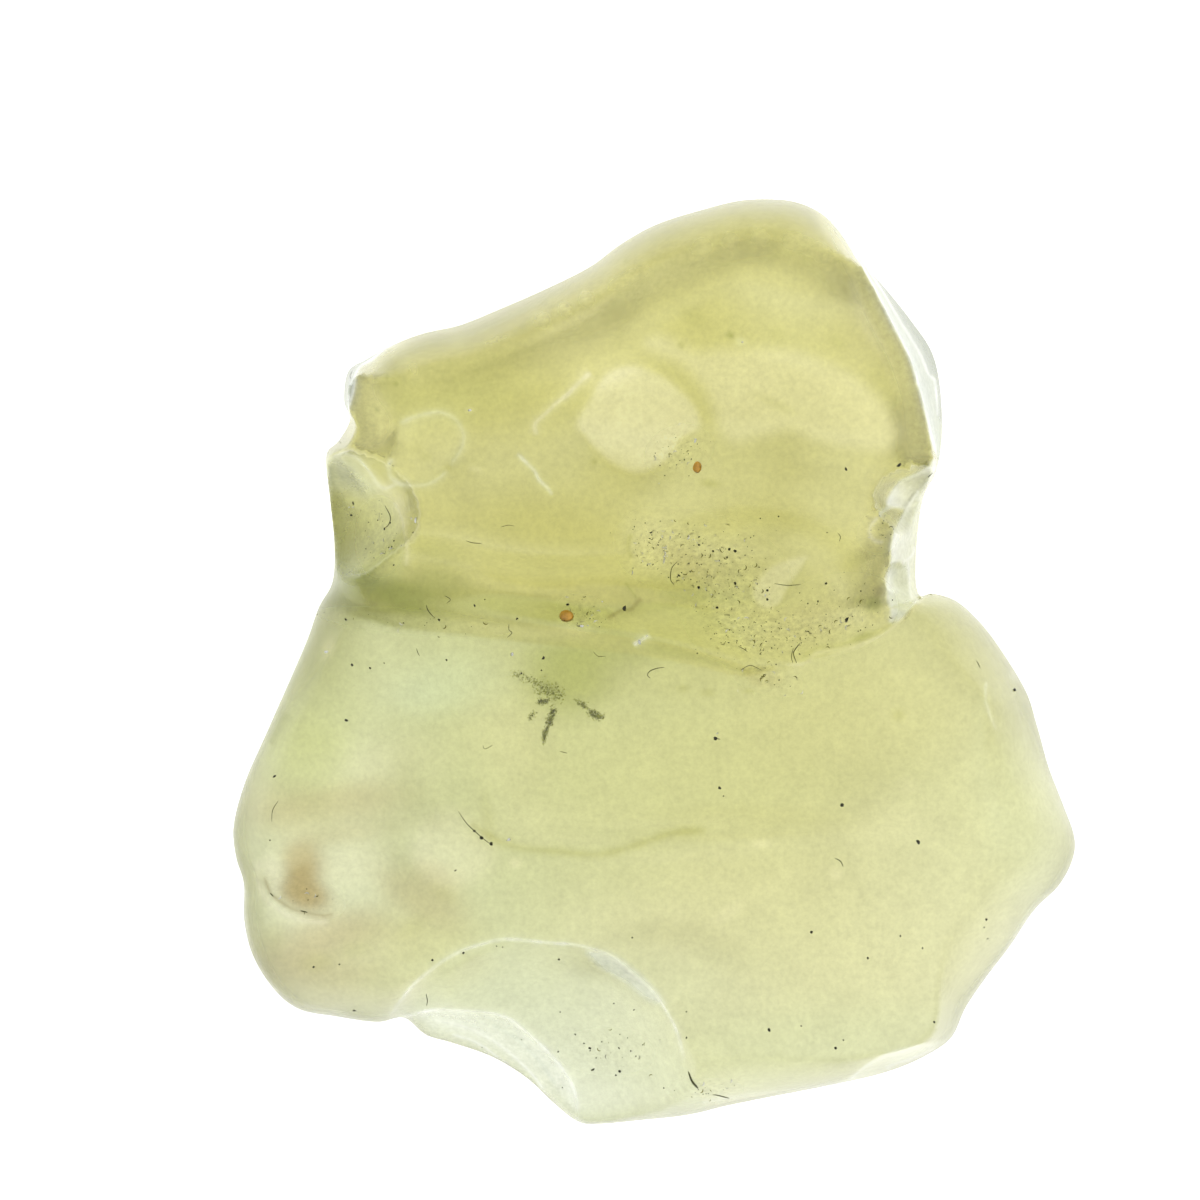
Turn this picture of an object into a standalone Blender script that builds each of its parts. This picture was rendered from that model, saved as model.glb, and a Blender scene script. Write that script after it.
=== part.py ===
"""A wind-worn lump of natural silica glass, in one piece.

The stone lies on a small flat spot of its underside, +Z up and +Y towards its thick blunt end.
Its outline is a closed curve through points chosen by hand. Two surfaces, the top and the underside,
meet along that outline, and the scars of old flakes are then scooped out of them.
All sizes below are in millimetres.
"""

import math

import bmesh
import bpy
import numpy as np
from mathutils import Matrix, Vector

MM = 0.001

# Driving sizes
WIDTH = 42.2
LENGTH = 46.5
BLUNT_END_HEIGHT = 14.4
SHOULDER_HEIGHT = 12.6
TAIL_HEIGHT = 7.4
FLAT_SPOT = (0.4, 0.2)
FLAT_SPOT_RADIUS = 7.0
BELLY_RISE = 2.4

# Mesh fineness
SPOKES = 160
RIM_RINGS = 8
TOP_RINGS = 30
UNDER_RINGS = 12
RIM_BAND = 5.0
FACES_KEPT = 0.3

# The middle of the fan of spokes, from which every point of the outline can be seen
FAN = (-1.7, -1.7)

# The outline anticlockwise, from the notch on the right where the two lobes meet
OUTLINE = [
    (13.2, 6.7), (13.5, 8.5), (14.1, 9.7), (14.4, 11.6), (14.3, 14.0), (13.9, 15.7), (12.9, 17.2),
    (11.7, 18.7), (10.4, 20.2), (9.3, 21.7), (8.1, 22.7), (6.6, 23.2), (4.4, 23.2), (2.3, 22.7),
    (0.1, 22.0), (-1.7, 21.0), (-3.2, 19.9), (-5.4, 18.8), (-7.7, 17.8), (-9.7, 17.0),
    (-11.5, 16.6), (-13.1, 16.0), (-14.4, 15.3), (-15.3, 14.7), (-15.5, 13.2), (-15.2, 12.3),
    (-15.8, 11.2), (-16.4, 10.5), (-16.2, 8.2), (-16.0, 6.1), (-16.1, 4.2), (-16.8, 2.9),
    (-17.5, 1.0), (-19.4, -3.3), (-20.5, -5.8), (-21.1, -8.0), (-21.0, -9.6), (-20.6, -11.0),
    (-20.6, -12.7), (-20.2, -14.5), (-19.2, -16.2), (-17.9, -17.3), (-16.0, -17.7),
    (-13.9, -18.0), (-12.6, -17.8), (-11.5, -18.7), (-10.2, -19.1), (-8.2, -19.8), (-6.4, -20.9),
    (-5.0, -22.2), (-3.8, -23.1), (-2.7, -23.2), (-0.7, -23.0), (1.8, -22.7), (4.3, -22.1),
    (9.7, -21.0), (12.0, -20.4), (13.8, -19.6), (15.0, -18.7), (15.7, -17.2), (16.7, -15.7),
    (17.9, -14.1), (19.1, -12.3), (20.3, -11.1), (21.0, -9.8), (21.1, -8.6), (20.5, -6.9),
    (19.8, -5.1), (19.2, -3.0), (18.6, -1.2), (17.1, 1.2), (16.0, 2.5), (15.0, 3.3), (13.9, 3.6),
    (13.3, 3.5), (13.1, 4.5),
]
OUTLINE_SAMPLES = 8

# The rim by compass: degrees from +X about the fan, height of the rim, width of the top shoulder,
# its roundness (1 is a flat chip, 2 is round) and width of the under shoulder
RIM = [
    (0, 6.2, 2.5, 1.3, 7.0), (10, 6.4, 3.4, 1.8, 7.0), (19, 6.6, 2.6, 1.9, 6.0),
    (23, 6.4, 1.7, 1.1, 5.0), (33, 6.8, 1.9, 1.1, 6.0), (37, 7.2, 0.8, 1.0, 6.0),
    (41, 7.0, 1.3, 1.0, 6.2), (47, 6.6, 1.8, 1.0, 6.5), (54, 6.9, 1.3, 1.0, 6.8),
    (61, 7.3, 0.6, 1.0, 7.2), (68, 7.8, 2.4, 1.9, 8.0), (80, 8.2, 2.9, 2.1, 9.0),
    (100, 7.8, 2.7, 2.0, 9.0), (124, 7.4, 2.2, 1.9, 7.5), (129, 7.0, 0.8, 1.0, 6.5),
    (133, 7.0, 0.7, 1.0, 6.5), (137, 7.0, 1.0, 1.3, 6.5), (142, 6.8, 1.4, 1.5, 6.5),
    (156, 6.4, 1.8, 1.8, 6.5), (168, 6.0, 3.6, 1.9, 7.5), (190, 5.4, 4.6, 1.8, 8.0),
    (215, 4.8, 4.8, 1.9, 7.5), (232, 3.8, 3.6, 1.8, 6.0), (240, 2.6, 3.8, 1.2, 4.5),
    (258, 2.2, 4.4, 1.1, 4.5), (268, 2.6, 3.0, 1.4, 5.0), (290, 3.6, 2.8, 1.6, 6.5),
    (301, 4.0, 1.7, 1.5, 6.5), (307, 4.2, 1.3, 1.0, 6.5), (312, 4.4, 1.0, 1.0, 6.5),
    (325, 5.0, 3.4, 1.5, 7.5), (345, 5.8, 4.4, 1.8, 7.5),
]

# Where the upper lobe ends and the lower lobe begins, from the left waist to the notch
SEAM = [(-17.0, 4.3), (-12.7, 3.0), (-9.7, 2.7), (-6.7, 2.3), (-3.7, 1.8), (-0.7, 1.3),
        (2.3, 0.5), (4.5, -0.2), (6.8, 0.1), (9.8, 1.1), (11.6, 2.0), (13.6, 3.6)]

# Soft hollows (below zero) and swells of the top: middle, half lengths, turn in degrees, depth
UPPER_FORMS = [
    ((-2.0, 18.6), (9.5, 1.9), 27, 1.0),
    ((7.0, 20.8), (3.6, 1.8), -20, 0.9),
    ((-0.7, 12.2), (3.6, 3.1), -20, -2.0),
    ((7.4, 12.6), (5.0, 3.0), -25, -1.3),
    ((-10.5, 11.0), (2.4, 1.7), 35, -0.5),
    ((-11.0, 4.2), (6.0, 2.0), -8, -2.6),
    ((-2.6, 3.4), (5.0, 1.7), -6, -2.2),
    ((5.2, 4.2), (6.6, 3.4), -8, -3.6),
]
LOWER_FORMS = [
    ((10.5, -1.5), (6.0, 3.6), 25, 0.7),
    ((-15.4, -10.8), (3.4, 3.0), 20, -2.0),
    ((-9.9, -9.0), (2.3, 1.8), -30, -0.9),
    ((0.5, -8.6), (8.0, 0.9), 3, -0.45),
    ((-14.0, -15.5), (4.0, 1.6), 10, 0.5),
    ((-13.5, -3.2), (4.0, 2.6), 30, -0.8),
    ((-1.0, -5.2), (9.5, 2.4), -4, 0.6),
    ((4.0, -15.0), (8.0, 4.0), -10, -0.4),
]
UNDER_FORMS = [
    ((9.5, 9.0), (4.5, 3.4), 30, 1.3),
    ((-9.0, 11.5), (4.0, 3.0), -20, 1.1),
    ((12.5, -9.0), (4.0, 5.0), 15, 1.2),
    ((-14.0, -7.0), (3.0, 4.5), 10, 1.0),
    ((1.0, -15.5), (5.0, 2.8), -8, 1.2),
]

# Flake scars: name, middle of the scoop, its three radii and its turn about Z in degrees
SCARS = [
    ("scallop", (-6.5, -25.0, 16.0), (11.0, 13.4, 13.0), -8),
    ("left_scar", (-18.6, 7.0, 15.0), (7.1, 4.0, 8.0), 6),
    ("notch_scoop", (14.8, 7.4, 13.5), (4.2, 2.2, 5.0), -20),
    ("notch_flake", (15.6, 4.9, 13.5), (4.4, 1.8, 5.6), 10),
    ("under_flake_waist", (-22.0, 4.6, -5.6), (10.0, 4.6, 13.0), -8),
    ("under_flake_tail", (9.0, -28.0, -6.0), (14.0, 10.0, 10.5), 10),
]

GLASS_COLOUR = (0.60, 0.58, 0.24, 1.0)
GLASS_ROUGHNESS = 0.32


def clear_scene():
    for obj in list(bpy.data.objects):
        bpy.data.objects.remove(obj)


def closed_curve(points, samples):
    """A smooth closed curve through the points, with a number of samples between each two."""
    knots = np.array(points, float)
    before, after, beyond = (np.roll(knots, step, axis=0) for step in (1, -1, -2))
    t = (np.arange(samples) / samples)[None, :, None]
    ends = knots[:, None] * (2 * t**3 - 3 * t**2 + 1) + after[:, None] * (3 * t**2 - 2 * t**3)
    leave = (after - before)[:, None] / 2 * (t**3 - 2 * t**2 + t)
    arrive = (beyond - knots)[:, None] / 2 * (t**3 - t**2)
    return (ends + leave + arrive).reshape(-1, 2)


def even_steps(curve, count):
    """Points at equal steps of length along a closed curve."""
    loop = np.vstack([curve, curve[:1]])
    length = np.concatenate([[0], np.cumsum(np.linalg.norm(np.diff(loop, axis=0), axis=1))])
    stops = np.linspace(0, length[-1], count, endpoint=False)
    return np.stack([np.interp(stops, length, loop[:, axis]) for axis in (0, 1)], axis=1)


def bearing(x, y):
    return np.degrees(np.arctan2(y - FAN[1], x - FAN[0])) % 360


def rim_values(x, y):
    """Height, top width, roundness and under width of the rim at the point's bearing."""
    table = np.array(RIM, float)
    return [np.interp(bearing(x, y), table[:, 0], table[:, k], period=360) for k in (1, 2, 3, 4)]


def forms(x, y, table):
    """The sum of soft hollows and swells."""
    total = np.zeros_like(x)
    for (mx, my), (half_x, half_y), turn, height in table:
        c, s = math.cos(math.radians(turn)), math.sin(math.radians(turn))
        u = ((x - mx) * c + (y - my) * s) / half_x
        v = ((y - my) * c - (x - mx) * s) / half_y
        total += height * np.exp(-((u * u + v * v) ** 1.5))
    return total


def smooth(u):
    u = np.clip(u, 0, 1)
    return u * u * (3 - 2 * u)


def shoulder(inset, width, roundness):
    """Rises from 0 at the rim to 1 at the shoulder's width: a flat chip at roundness 1."""
    u = np.clip(inset / width, 0, 1)
    return (1 - (1 - u) ** roundness) ** (1 / roundness)


def top_height(x, y, inset):
    rim, width, roundness, _ = rim_values(x, y)
    upper = BLUNT_END_HEIGHT - 0.9 * smooth((8 - y) / 10) + forms(x, y, UPPER_FORMS)
    slope_down = smooth((1 - y) / 22) * 0.6 + smooth((6 - x) / 24) * 0.4
    lower = SHOULDER_HEIGHT + (TAIL_HEIGHT - SHOULDER_HEIGHT) * slope_down
    lower += forms(x, y, LOWER_FORMS)
    seam = np.array(SEAM)
    below_seam = np.interp(x, seam[:, 0], seam[:, 1]) - y
    step_width = 0.4 + 2.1 * smooth((7 - x) / 15)
    level = upper + (lower - upper) * smooth(below_seam / step_width + 0.5)
    return rim + (level - rim) * shoulder(inset, width, roundness)


def under_height(x, y, inset):
    rim, _, _, width = rim_values(x, y)
    across, along = x - FLAT_SPOT[0], y - FLAT_SPOT[1]
    uneven = 0.5 * np.sin(3 * np.arctan2(along, across) + 0.8)
    out = np.hypot(across / 1.1, along / 0.95) + uneven
    rise = smooth((out - 1) / 17) - smooth(np.array((FLAT_SPOT_RADIUS - 1) / 17))
    level = BELLY_RISE * rise + forms(x, y, UNDER_FORMS)
    return rim + (level - rim) * shoulder(inset, width, 2.0)


def glass_material():
    material = bpy.data.materials.new("desert_glass")
    material.use_nodes = True
    shader = material.node_tree.nodes["Principled BSDF"]
    shader.inputs["Base Color"].default_value = GLASS_COLOUR
    shader.inputs["Roughness"].default_value = GLASS_ROUGHNESS
    shader.inputs["Metallic"].default_value = 0.0
    shader.inputs["IOR"].default_value = 1.46
    shader.inputs["Transmission Weight"].default_value = 0.9
    return material


def insets(reach_out, inner_rings):
    """How far in from the rim each ring lies: close together round the rim, then even."""
    quarter = np.linspace(0, math.pi / 2, RIM_RINGS, endpoint=False)[1:]
    near = [RIM_BAND * (1 - math.cos(angle)) * np.ones_like(reach_out) for angle in quarter]
    far = [RIM_BAND + (reach_out - RIM_BAND) * k / inner_rings for k in range(inner_rings)]
    return near + far


def add_side(bm, rim_ring, edge, height, inner_rings):
    """One surface from the rim to its middle point, as rings joined by faces."""
    out = edge - np.array(FAN)
    reach_out = np.linalg.norm(out, axis=1)
    last = rim_ring
    for inset in insets(reach_out, inner_rings):
        place = np.array(FAN) + out * (1 - inset / reach_out)[:, None]
        z = height(place[:, 0], place[:, 1], inset)
        ring = [bm.verts.new((x * MM, y * MM, h * MM)) for (x, y), h in zip(place, z)]
        for k in range(SPOKES):
            after = (k + 1) % SPOKES
            bm.faces.new((last[k], last[after], ring[after], ring[k]))
        last = ring
    middle = np.array([FAN], float)
    z = height(middle[:, 0], middle[:, 1], np.array([reach_out.mean()]))[0]
    pole = bm.verts.new((FAN[0] * MM, FAN[1] * MM, z * MM))
    for k in range(SPOKES):
        bm.faces.new((last[k], last[(k + 1) % SPOKES], pole))


def make_stone():
    curve = closed_curve(OUTLINE, OUTLINE_SAMPLES)
    edge = even_steps(curve, SPOKES)
    rim = rim_values(edge[:, 0], edge[:, 1])[0]
    bm = bmesh.new()
    rim_ring = [bm.verts.new((x * MM, y * MM, h * MM)) for (x, y), h in zip(edge, rim)]
    add_side(bm, rim_ring, edge, top_height, TOP_RINGS)
    add_side(bm, rim_ring, edge, under_height, UNDER_RINGS)
    bmesh.ops.recalc_face_normals(bm, faces=bm.faces)
    return add_object("desert_glass", bm)


def add_object(name, bm):
    mesh = bpy.data.meshes.new(name)
    bm.to_mesh(mesh)
    bm.free()
    obj = bpy.data.objects.new(name, mesh)
    bpy.context.collection.objects.link(obj)
    return obj


def cut(stone, cutter):
    """Takes the cutter's space out of the stone. The cutter itself isn't part of it."""
    cutter.hide_render = True
    cutter.display_type = "WIRE"
    modifier = stone.modifiers.new(cutter.name, "BOOLEAN")
    modifier.operation = "DIFFERENCE"
    modifier.solver = "EXACT"
    modifier.object = cutter


def scar_cutter(name, middle, radii, turn):
    bm = bmesh.new()
    bmesh.ops.create_uvsphere(bm, u_segments=56, v_segments=28, radius=MM)
    bmesh.ops.scale(bm, vec=Vector(radii), verts=bm.verts)
    place = Matrix.Translation(Vector(middle) * MM) @ Matrix.Rotation(math.radians(turn), 4, "Z")
    bmesh.ops.transform(bm, matrix=place, verts=bm.verts)
    return add_object(name, bm)


def flat_spot_cutter():
    """A block below Z = 0, whose top leaves the flat spot that the stone lies on."""
    depth = 10
    bm = bmesh.new()
    bmesh.ops.create_cube(bm, size=1.0)
    bmesh.ops.scale(bm, vec=Vector((2 * WIDTH, 2 * LENGTH, depth)) * MM, verts=bm.verts)
    bmesh.ops.translate(bm, vec=Vector((0, 0, -depth / 2)) * MM, verts=bm.verts)
    return add_object("flat_spot", bm)


def main():
    clear_scene()
    stone = make_stone()
    stone.data.materials.append(glass_material())
    thin_out = stone.modifiers.new("thin_out", "DECIMATE")
    thin_out.ratio = FACES_KEPT
    for name, middle, radii, turn in SCARS:
        cut(stone, scar_cutter(name, middle, radii, turn))
    cut(stone, flat_spot_cutter())
    stone.data.shade_smooth()
    stone.data.set_sharp_from_angle(angle=math.radians(35))


main()
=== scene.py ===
"""Finishes a wind-worn lump of natural silica glass: the stone with its chips and hollows, the sand grains,
dark specks and threads lodged in it, the smoky streaks sealed in it, and the pale stage that it lies on."""

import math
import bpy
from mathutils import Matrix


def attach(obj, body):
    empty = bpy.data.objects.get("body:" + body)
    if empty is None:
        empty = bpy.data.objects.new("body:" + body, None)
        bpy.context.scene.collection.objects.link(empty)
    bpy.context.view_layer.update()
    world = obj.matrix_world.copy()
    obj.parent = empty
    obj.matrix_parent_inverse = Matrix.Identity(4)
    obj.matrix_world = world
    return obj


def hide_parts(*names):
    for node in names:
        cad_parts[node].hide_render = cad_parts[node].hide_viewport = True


bl_info = {
    "name": "Desert glass stone",
    "version": (1, 0, 0),
    "blender": (4, 5, 0),
    "location": "3D View > Sidebar > Desert Glass",
    "description": "Builds a lump of desert glass with what is lodged and sealed in it, on a pale stage",
    "category": "Add Mesh",
}

from collections import namedtuple

import bmesh
import bpy
import numpy as np
from mathutils import Vector, noise
from mathutils.bvhtree import BVHTree
from mathutils.geometry import delaunay_2d_cdt
from mathutils.kdtree import KDTree

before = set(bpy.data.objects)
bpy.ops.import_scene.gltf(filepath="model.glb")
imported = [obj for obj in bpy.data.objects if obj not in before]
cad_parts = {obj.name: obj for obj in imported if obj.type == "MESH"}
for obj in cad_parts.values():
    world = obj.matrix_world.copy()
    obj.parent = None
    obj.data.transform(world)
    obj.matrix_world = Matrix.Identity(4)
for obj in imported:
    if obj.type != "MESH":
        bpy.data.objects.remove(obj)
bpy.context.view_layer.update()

MM = 0.001
STONE_NODE = "desert_glass"

# Driving sizes of the stone, in millimetres, as in its solid
BLUNT_END_HEIGHT = 14.4
SHOULDER_HEIGHT = 12.6
TAIL_HEIGHT = 7.4
FLAT_SPOT = (0.4, 0.2)
FLAT_SPOT_RADIUS = 7.0
BELLY_RISE = 2.4
FAN = (-1.7, -1.7)

# Soft ramps on the top: where each starts, towards -Y or -X, and how long it is
UPPER_RAMP = (8, 10)
DOWNWARD_RAMP = (1, 22)
LEFTWARD_RAMP = (6, 24)
SEAM_RAMP = (7, 15)

# How far the upper lobe falls on its ramp, and the part of the lower lobe's fall that goes downward
UPPER_FALL = 0.9
DOWNWARD_SHARE = 0.6

# Width of the step at the seam, and how much wider it gets along its ramp
SEAM_STEP = 0.4
SEAM_STEP_GROWTH = 2.1

# How far the belly reaches round the flat spot, its unevenness and its roundness at the rim
BELLY_REACH = 17
BELLY_WAVE = 0.5
BELLY_ROUNDNESS = 2.0

# How far a scar's edge is worn round, and how far in from the rim ridges and creases reach full height
SCAR_BLEND = 0.25
CLEAR_RIM = 0.8

# The outline anticlockwise, from the notch on the right where the two lobes meet
OUTLINE = [
    (13.2, 6.7), (13.5, 8.5), (14.1, 9.7), (14.4, 11.6), (14.3, 14), (13.9, 15.7), (12.9, 17.2),
    (11.7, 18.7), (10.4, 20.2), (9.3, 21.7), (8.1, 22.7), (6.6, 23.2), (4.4, 23.2), (2.3, 22.7),
    (0.1, 22), (-1.7, 21), (-3.2, 19.9), (-5.4, 18.8), (-7.7, 17.8), (-9.7, 17),
    (-11.5, 16.6), (-13.1, 16), (-14.4, 15.3), (-15.3, 14.7), (-15.5, 13.2), (-15.2, 12.3),
    (-15.8, 11.2), (-16.4, 10.5), (-16.2, 8.2), (-16, 6.1), (-16.1, 4.2), (-16.8, 2.9),
    (-17.5, 1), (-19.4, -3.3), (-20.5, -5.8), (-21.1, -8), (-21, -9.6), (-20.6, -11),
    (-20.6, -12.7), (-20.2, -14.5), (-19.2, -16.2), (-17.9, -17.3), (-16, -17.7),
    (-13.9, -18), (-12.6, -17.8), (-11.5, -18.7), (-10.2, -19.1), (-8.2, -19.8), (-6.4, -20.9),
    (-5, -22.2), (-3.8, -23.1), (-2.7, -23.2), (-0.7, -23), (1.8, -22.7), (4.3, -22.1),
    (9.7, -21), (12, -20.4), (13.8, -19.6), (15, -18.7), (15.7, -17.2), (16.7, -15.7),
    (17.9, -14.1), (19.1, -12.3), (20.3, -11.1), (21, -9.8), (21.1, -8.6), (20.5, -6.9),
    (19.8, -5.1), (19.2, -3), (18.6, -1.2), (17.1, 1.2), (16, 2.5), (15, 3.3), (13.9, 3.6),
    (13.3, 3.5), (13.1, 4.5),
]

# Samples between each two points: of the outline, of an edge or a patch, and of a thread or a streak
OUTLINE_SAMPLES = 8
EDGE_SAMPLES = 5
THREAD_SAMPLES = 6

# How the mesh's points stand: rings inside the rim, then an even field further in
TOP_RINGS = (0.04, 0.12, 0.26, 0.45, 0.68, 0.95, 1.25)
TOP_FIELD_INSET = 1.42
UNDER_RINGS = (0.06, 0.2, 0.45, 0.8)
UNDER_FIELD_INSET = 1.2

# Close points on each edge and beside it: their step, how far aside and how far inside the rim they stand,
# the gap that others keep to them, and the grid on which two of them count as one
EDGE_STEP = 0.13
EDGE_GAPS = (0, -0.07, 0.07, -0.16, 0.16)
EDGE_INSET = 0.12
EDGE_CLEARANCE = 0.10
EDGE_GRID = 0.05

# The softest patch edge that gets such points of its own
CRISP = 0.4

# The faint band beside a line: how many times wider than the line, and its share of the line's tint
BAND_WIDTH = 3.2
BAND_SHARE = 0.22

# The rim by compass: degrees from +X about the fan, height of the rim, width of the top shoulder,
# its roundness (1 is a flat chip, 2 is round) and width of the under shoulder
RIM = [
    (0, 6.2, 2.5, 1.3, 7), (10, 6.4, 3.4, 1.8, 7), (19, 6.6, 2.6, 1.9, 6),
    (23, 6.4, 1.7, 1.1, 5), (33, 6.8, 1.9, 1.1, 6), (37, 7.2, 0.8, 1, 6),
    (41, 7, 1.3, 1, 6.2), (47, 6.6, 1.8, 1, 6.5), (54, 6.9, 1.3, 1, 6.8),
    (61, 7.3, 0.6, 1, 7.2), (68, 7.8, 2.4, 1.9, 8), (80, 8.2, 2.9, 2.1, 9),
    (100, 7.8, 2.7, 2, 9), (124, 7.4, 2.2, 1.9, 7.5), (129, 7, 0.8, 1, 6.5),
    (133, 7, 0.7, 1, 6.5), (137, 7, 1, 1.3, 6.5), (142, 6.8, 1.4, 1.5, 6.5),
    (156, 6.4, 1.8, 1.8, 6.5), (168, 6, 3.6, 1.9, 7.5), (190, 5.4, 4.6, 1.8, 8),
    (215, 4.8, 4.8, 1.9, 7.5), (232, 3.8, 3.6, 1.8, 6), (240, 2.6, 3.8, 1.2, 4.5),
    (258, 2.2, 4.4, 1.1, 4.5), (268, 2.6, 3, 1.4, 5), (290, 3.6, 2.8, 1.6, 6.5),
    (301, 4, 1.7, 1.5, 6.5), (307, 4.2, 1.3, 1, 6.5), (312, 4.4, 1, 1, 6.5),
    (325, 5, 3.4, 1.5, 7.5), (345, 5.8, 4.4, 1.8, 7.5),
]

# Where the upper lobe ends and the lower lobe begins, from the left waist to the notch
SEAM = [(-17, 4.3), (-12.7, 3), (-9.7, 2.7), (-6.7, 2.3), (-3.7, 1.8), (-0.7, 1.3),
        (2.3, 0.5), (4.5, -0.2), (6.8, 0.1), (9.8, 1.1), (11.6, 2), (13.6, 3.6)]

# Soft hollows (below zero) and swells: middle, half lengths, turn in degrees, height
UPPER_FORMS = [
    ((-2, 18.6), (9.5, 1.9), 27, 1),
    ((7, 20.8), (3.6, 1.8), -20, 0.9),
    ((-0.7, 12.2), (3.6, 3.1), -20, -2),
    ((7.4, 12.6), (5, 3), -25, -1.3),
    ((-10.5, 11), (2.4, 1.7), 35, -0.5),
    ((-11, 4.2), (6, 2), -8, -2.6),
    ((-2.6, 3.4), (5, 1.7), -6, -2.2),
    ((5.2, 4.2), (6.6, 3.4), -8, -3.6),
]
LOWER_FORMS = [
    ((10.5, -1.5), (6, 3.6), 25, 0.7),
    ((-15.4, -10.8), (3.4, 3), 20, -2),
    ((-9.9, -9), (2.3, 1.8), -30, -0.9),
    ((0.5, -8.6), (8, 0.9), 3, -0.45),
    ((-14, -15.5), (4, 1.6), 10, 0.5),
    ((-13.5, -3.2), (4, 2.6), 30, -0.8),
    ((-1, -5.2), (9.5, 2.4), -4, 0.6),
    ((4, -15), (8, 4), -10, -0.4),
]
UNDER_FORMS = [
    ((9.5, 9), (4.5, 3.4), 30, 1.3),
    ((-9, 11.5), (4, 3), -20, 1.1),
    ((12.5, -9), (4, 5), 15, 1.2),
    ((-14, -7), (3, 4.5), 10, 1),
    ((1, -15.5), (5, 2.8), -8, 1.2),
]

# Flake scars: middle of the scoop, its three radii and its turn about Z in degrees
TOP_SCARS = [
    ((-6.5, -25, 16), (11, 13.4, 13), -8),
    ((-18.6, 7, 15), (7.1, 4, 8), 6),
    ((14.8, 7.4, 13.5), (4.2, 2.2, 5), -20),
    ((15.6, 4.9, 13.5), (4.4, 1.8, 5.6), 10),
]
UNDER_SCARS = [
    ((-22, 4.6, -5.6), (10, 4.6, 13), -8),
    ((9, -28, -6), (14, 10, 10.5), 10),
]

# Tints of the skin, as the share of red, green and blue light that it lets through
PALETTE = {
    "sage": (0.67, 0.70, 0.58),
    "sand": (0.75, 0.74, 0.61),
    "olive": (0.66, 0.64, 0.38),
    "straw": (0.68, 0.65, 0.30),
    "moss": (0.48, 0.48, 0.22),
    "fern": (0.50, 0.54, 0.21),
    "shade": (0.28, 0.31, 0.10),
    "umber": (0.46, 0.36, 0.19),
    "rust": (0.27, 0.17, 0.05),
    "bark": (0.26, 0.21, 0.11),
    "milk": (0.96, 0.93, 0.86),
    "mist": (0.72, 0.79, 0.77),
    "snow": (0.97, 1.00, 1.00),
    # Greys painted on chip faces as their shade
    "steel": (0.50, 0.56, 0.51),
    "slate": (0.32, 0.37, 0.34),
}

# Painted shade along the outermost rim: how much its red, green and blue are darkened, and how far in that
# reaches
RIM_PAINTED_SHADE = (0.20, 0.19, 0.38)
RIM_PAINTED_SHADE_WIDTH = 0.9

# How white the worn rim is, and how far in from the edge that fades
RIM_HAZE = 0.12
RIM_HAZE_WIDTH = 1.2

# Clouds in the body of the glass, and painted shade along the waist: middle, half lengths, turn in degrees,
# tint, strength
CLOUDS = [
    ((-10.4, 14.2), (4.6, 2.2), 18, "moss", 0.48),
    ((-8.8, 13.2), (2.4, 1.6), 0, "moss", 0.2),
    ((-3.2, 16.6), (3.2, 1.1), 25, "milk", 0.55),
    ((0.4, 19), (2.6, 0.9), 15, "sand", 0.5),
    ((6.6, 18.4), (3.8, 1.4), -12, "sand", 0.75),
    ((10.4, 17.6), (0.8, 2.6), 30, "milk", 0.45),
    ((-1.5, 10), (9.5, 2.1), 0, "sand", 0.72),
    ((-9.8, 9), (3.4, 1.4), 5, "sand", 0.35),
    ((-14.2, 12.8), (1.2, 2.6), -8, "sand", 0.25),
    ((2, 8.2), (3.6, 1.4), 0, "sand", 0.6),
    ((9.5, 8.6), (3.2, 2), 0, "sand", 0.55),
    ((-8, 6), (4.5, 1.8), -15, "sand", 0.15),
    # Painted shade in the valley of the waist, where the two lobes meet
    ((-10.8, 5), (2, 1.4), -40, "shade", 0.42),
    ((-13.4, 3.6), (3.6, 1.1), -6, "shade", 0.85),
    ((-16, 4.6), (1, 1.6), 0, "shade", 0.8),
    ((-7.8, 2.9), (5, 0.9), -5, "moss", 0.55),
    ((2.6, 3.4), (3.4, 1.5), -12, "fern", 0.45),
    ((6.6, 4), (3.6, 2.4), -10, "moss", 0.3),
    ((10.9, 4.4), (0.9, 1.6), 10, "sand", 0.45),
    ((-16.8, -1.5), (2.4, 3.4), -20, "fern", 0.28),
    ((-17.4, -4.6), (2.2, 2.4), -10, "fern", 0.38),
    ((-10, -0.8), (3.4, 1.6), 0, "mist", 0.65),
    ((-13, -4.8), (3.2, 1.3), 8, "milk", 0.22),
    ((-4.2, -0.4), (2.4, 2), 20, "fern", 0.62),
    ((-1.5, 0.9), (3.4, 0.9), 0, "fern", 0.35),
    ((1, -0.4), (4.6, 1.1), 0, "moss", 0.12),
    ((-6.9, -3), (2, 3.8), 10, "milk", 0.26),
    ((-2, -4.8), (6.5, 1.5), -4, "milk", 0.08),
    ((11, -1.5), (6, 3.6), 15, "sand", 0.6),
    ((-4.6, -7.5), (3.6, 1.1), 0, "milk", 0.22),
    ((4.5, -7.6), (4.6, 0.8), 0, "olive", 0.3),
    ((11, -7.6), (3, 1.6), 0, "milk", 0.2),
    ((-16.2, -6.9), (4, 0.9), 8, "umber", 0.42),
    ((-15.4, -9), (3.2, 2), 20, "sand", 0.3),
    ((-11.4, -11.4), (2.4, 1.3), -35, "umber", 0.38),
    ((-16.2, -14.2), (4.2, 1.6), 12, "umber", 0.5),
    ((-11.5, -14), (3, 1.2), 10, "olive", 0.35),
    ((8, -12.5), (9, 4.5), -15, "sand", 0.5),
    ((-0.5, -13), (4.8, 1.4), 0, "milk", 0.22),
    ((2, -11), (7, 1.3), 5, "milk", 0.12),
    ((8.5, -19.3), (8.5, 2.3), 6, "sage", 0.7),
    ((18.4, -7), (2, 6), 10, "mist", 0.25),
]
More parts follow.
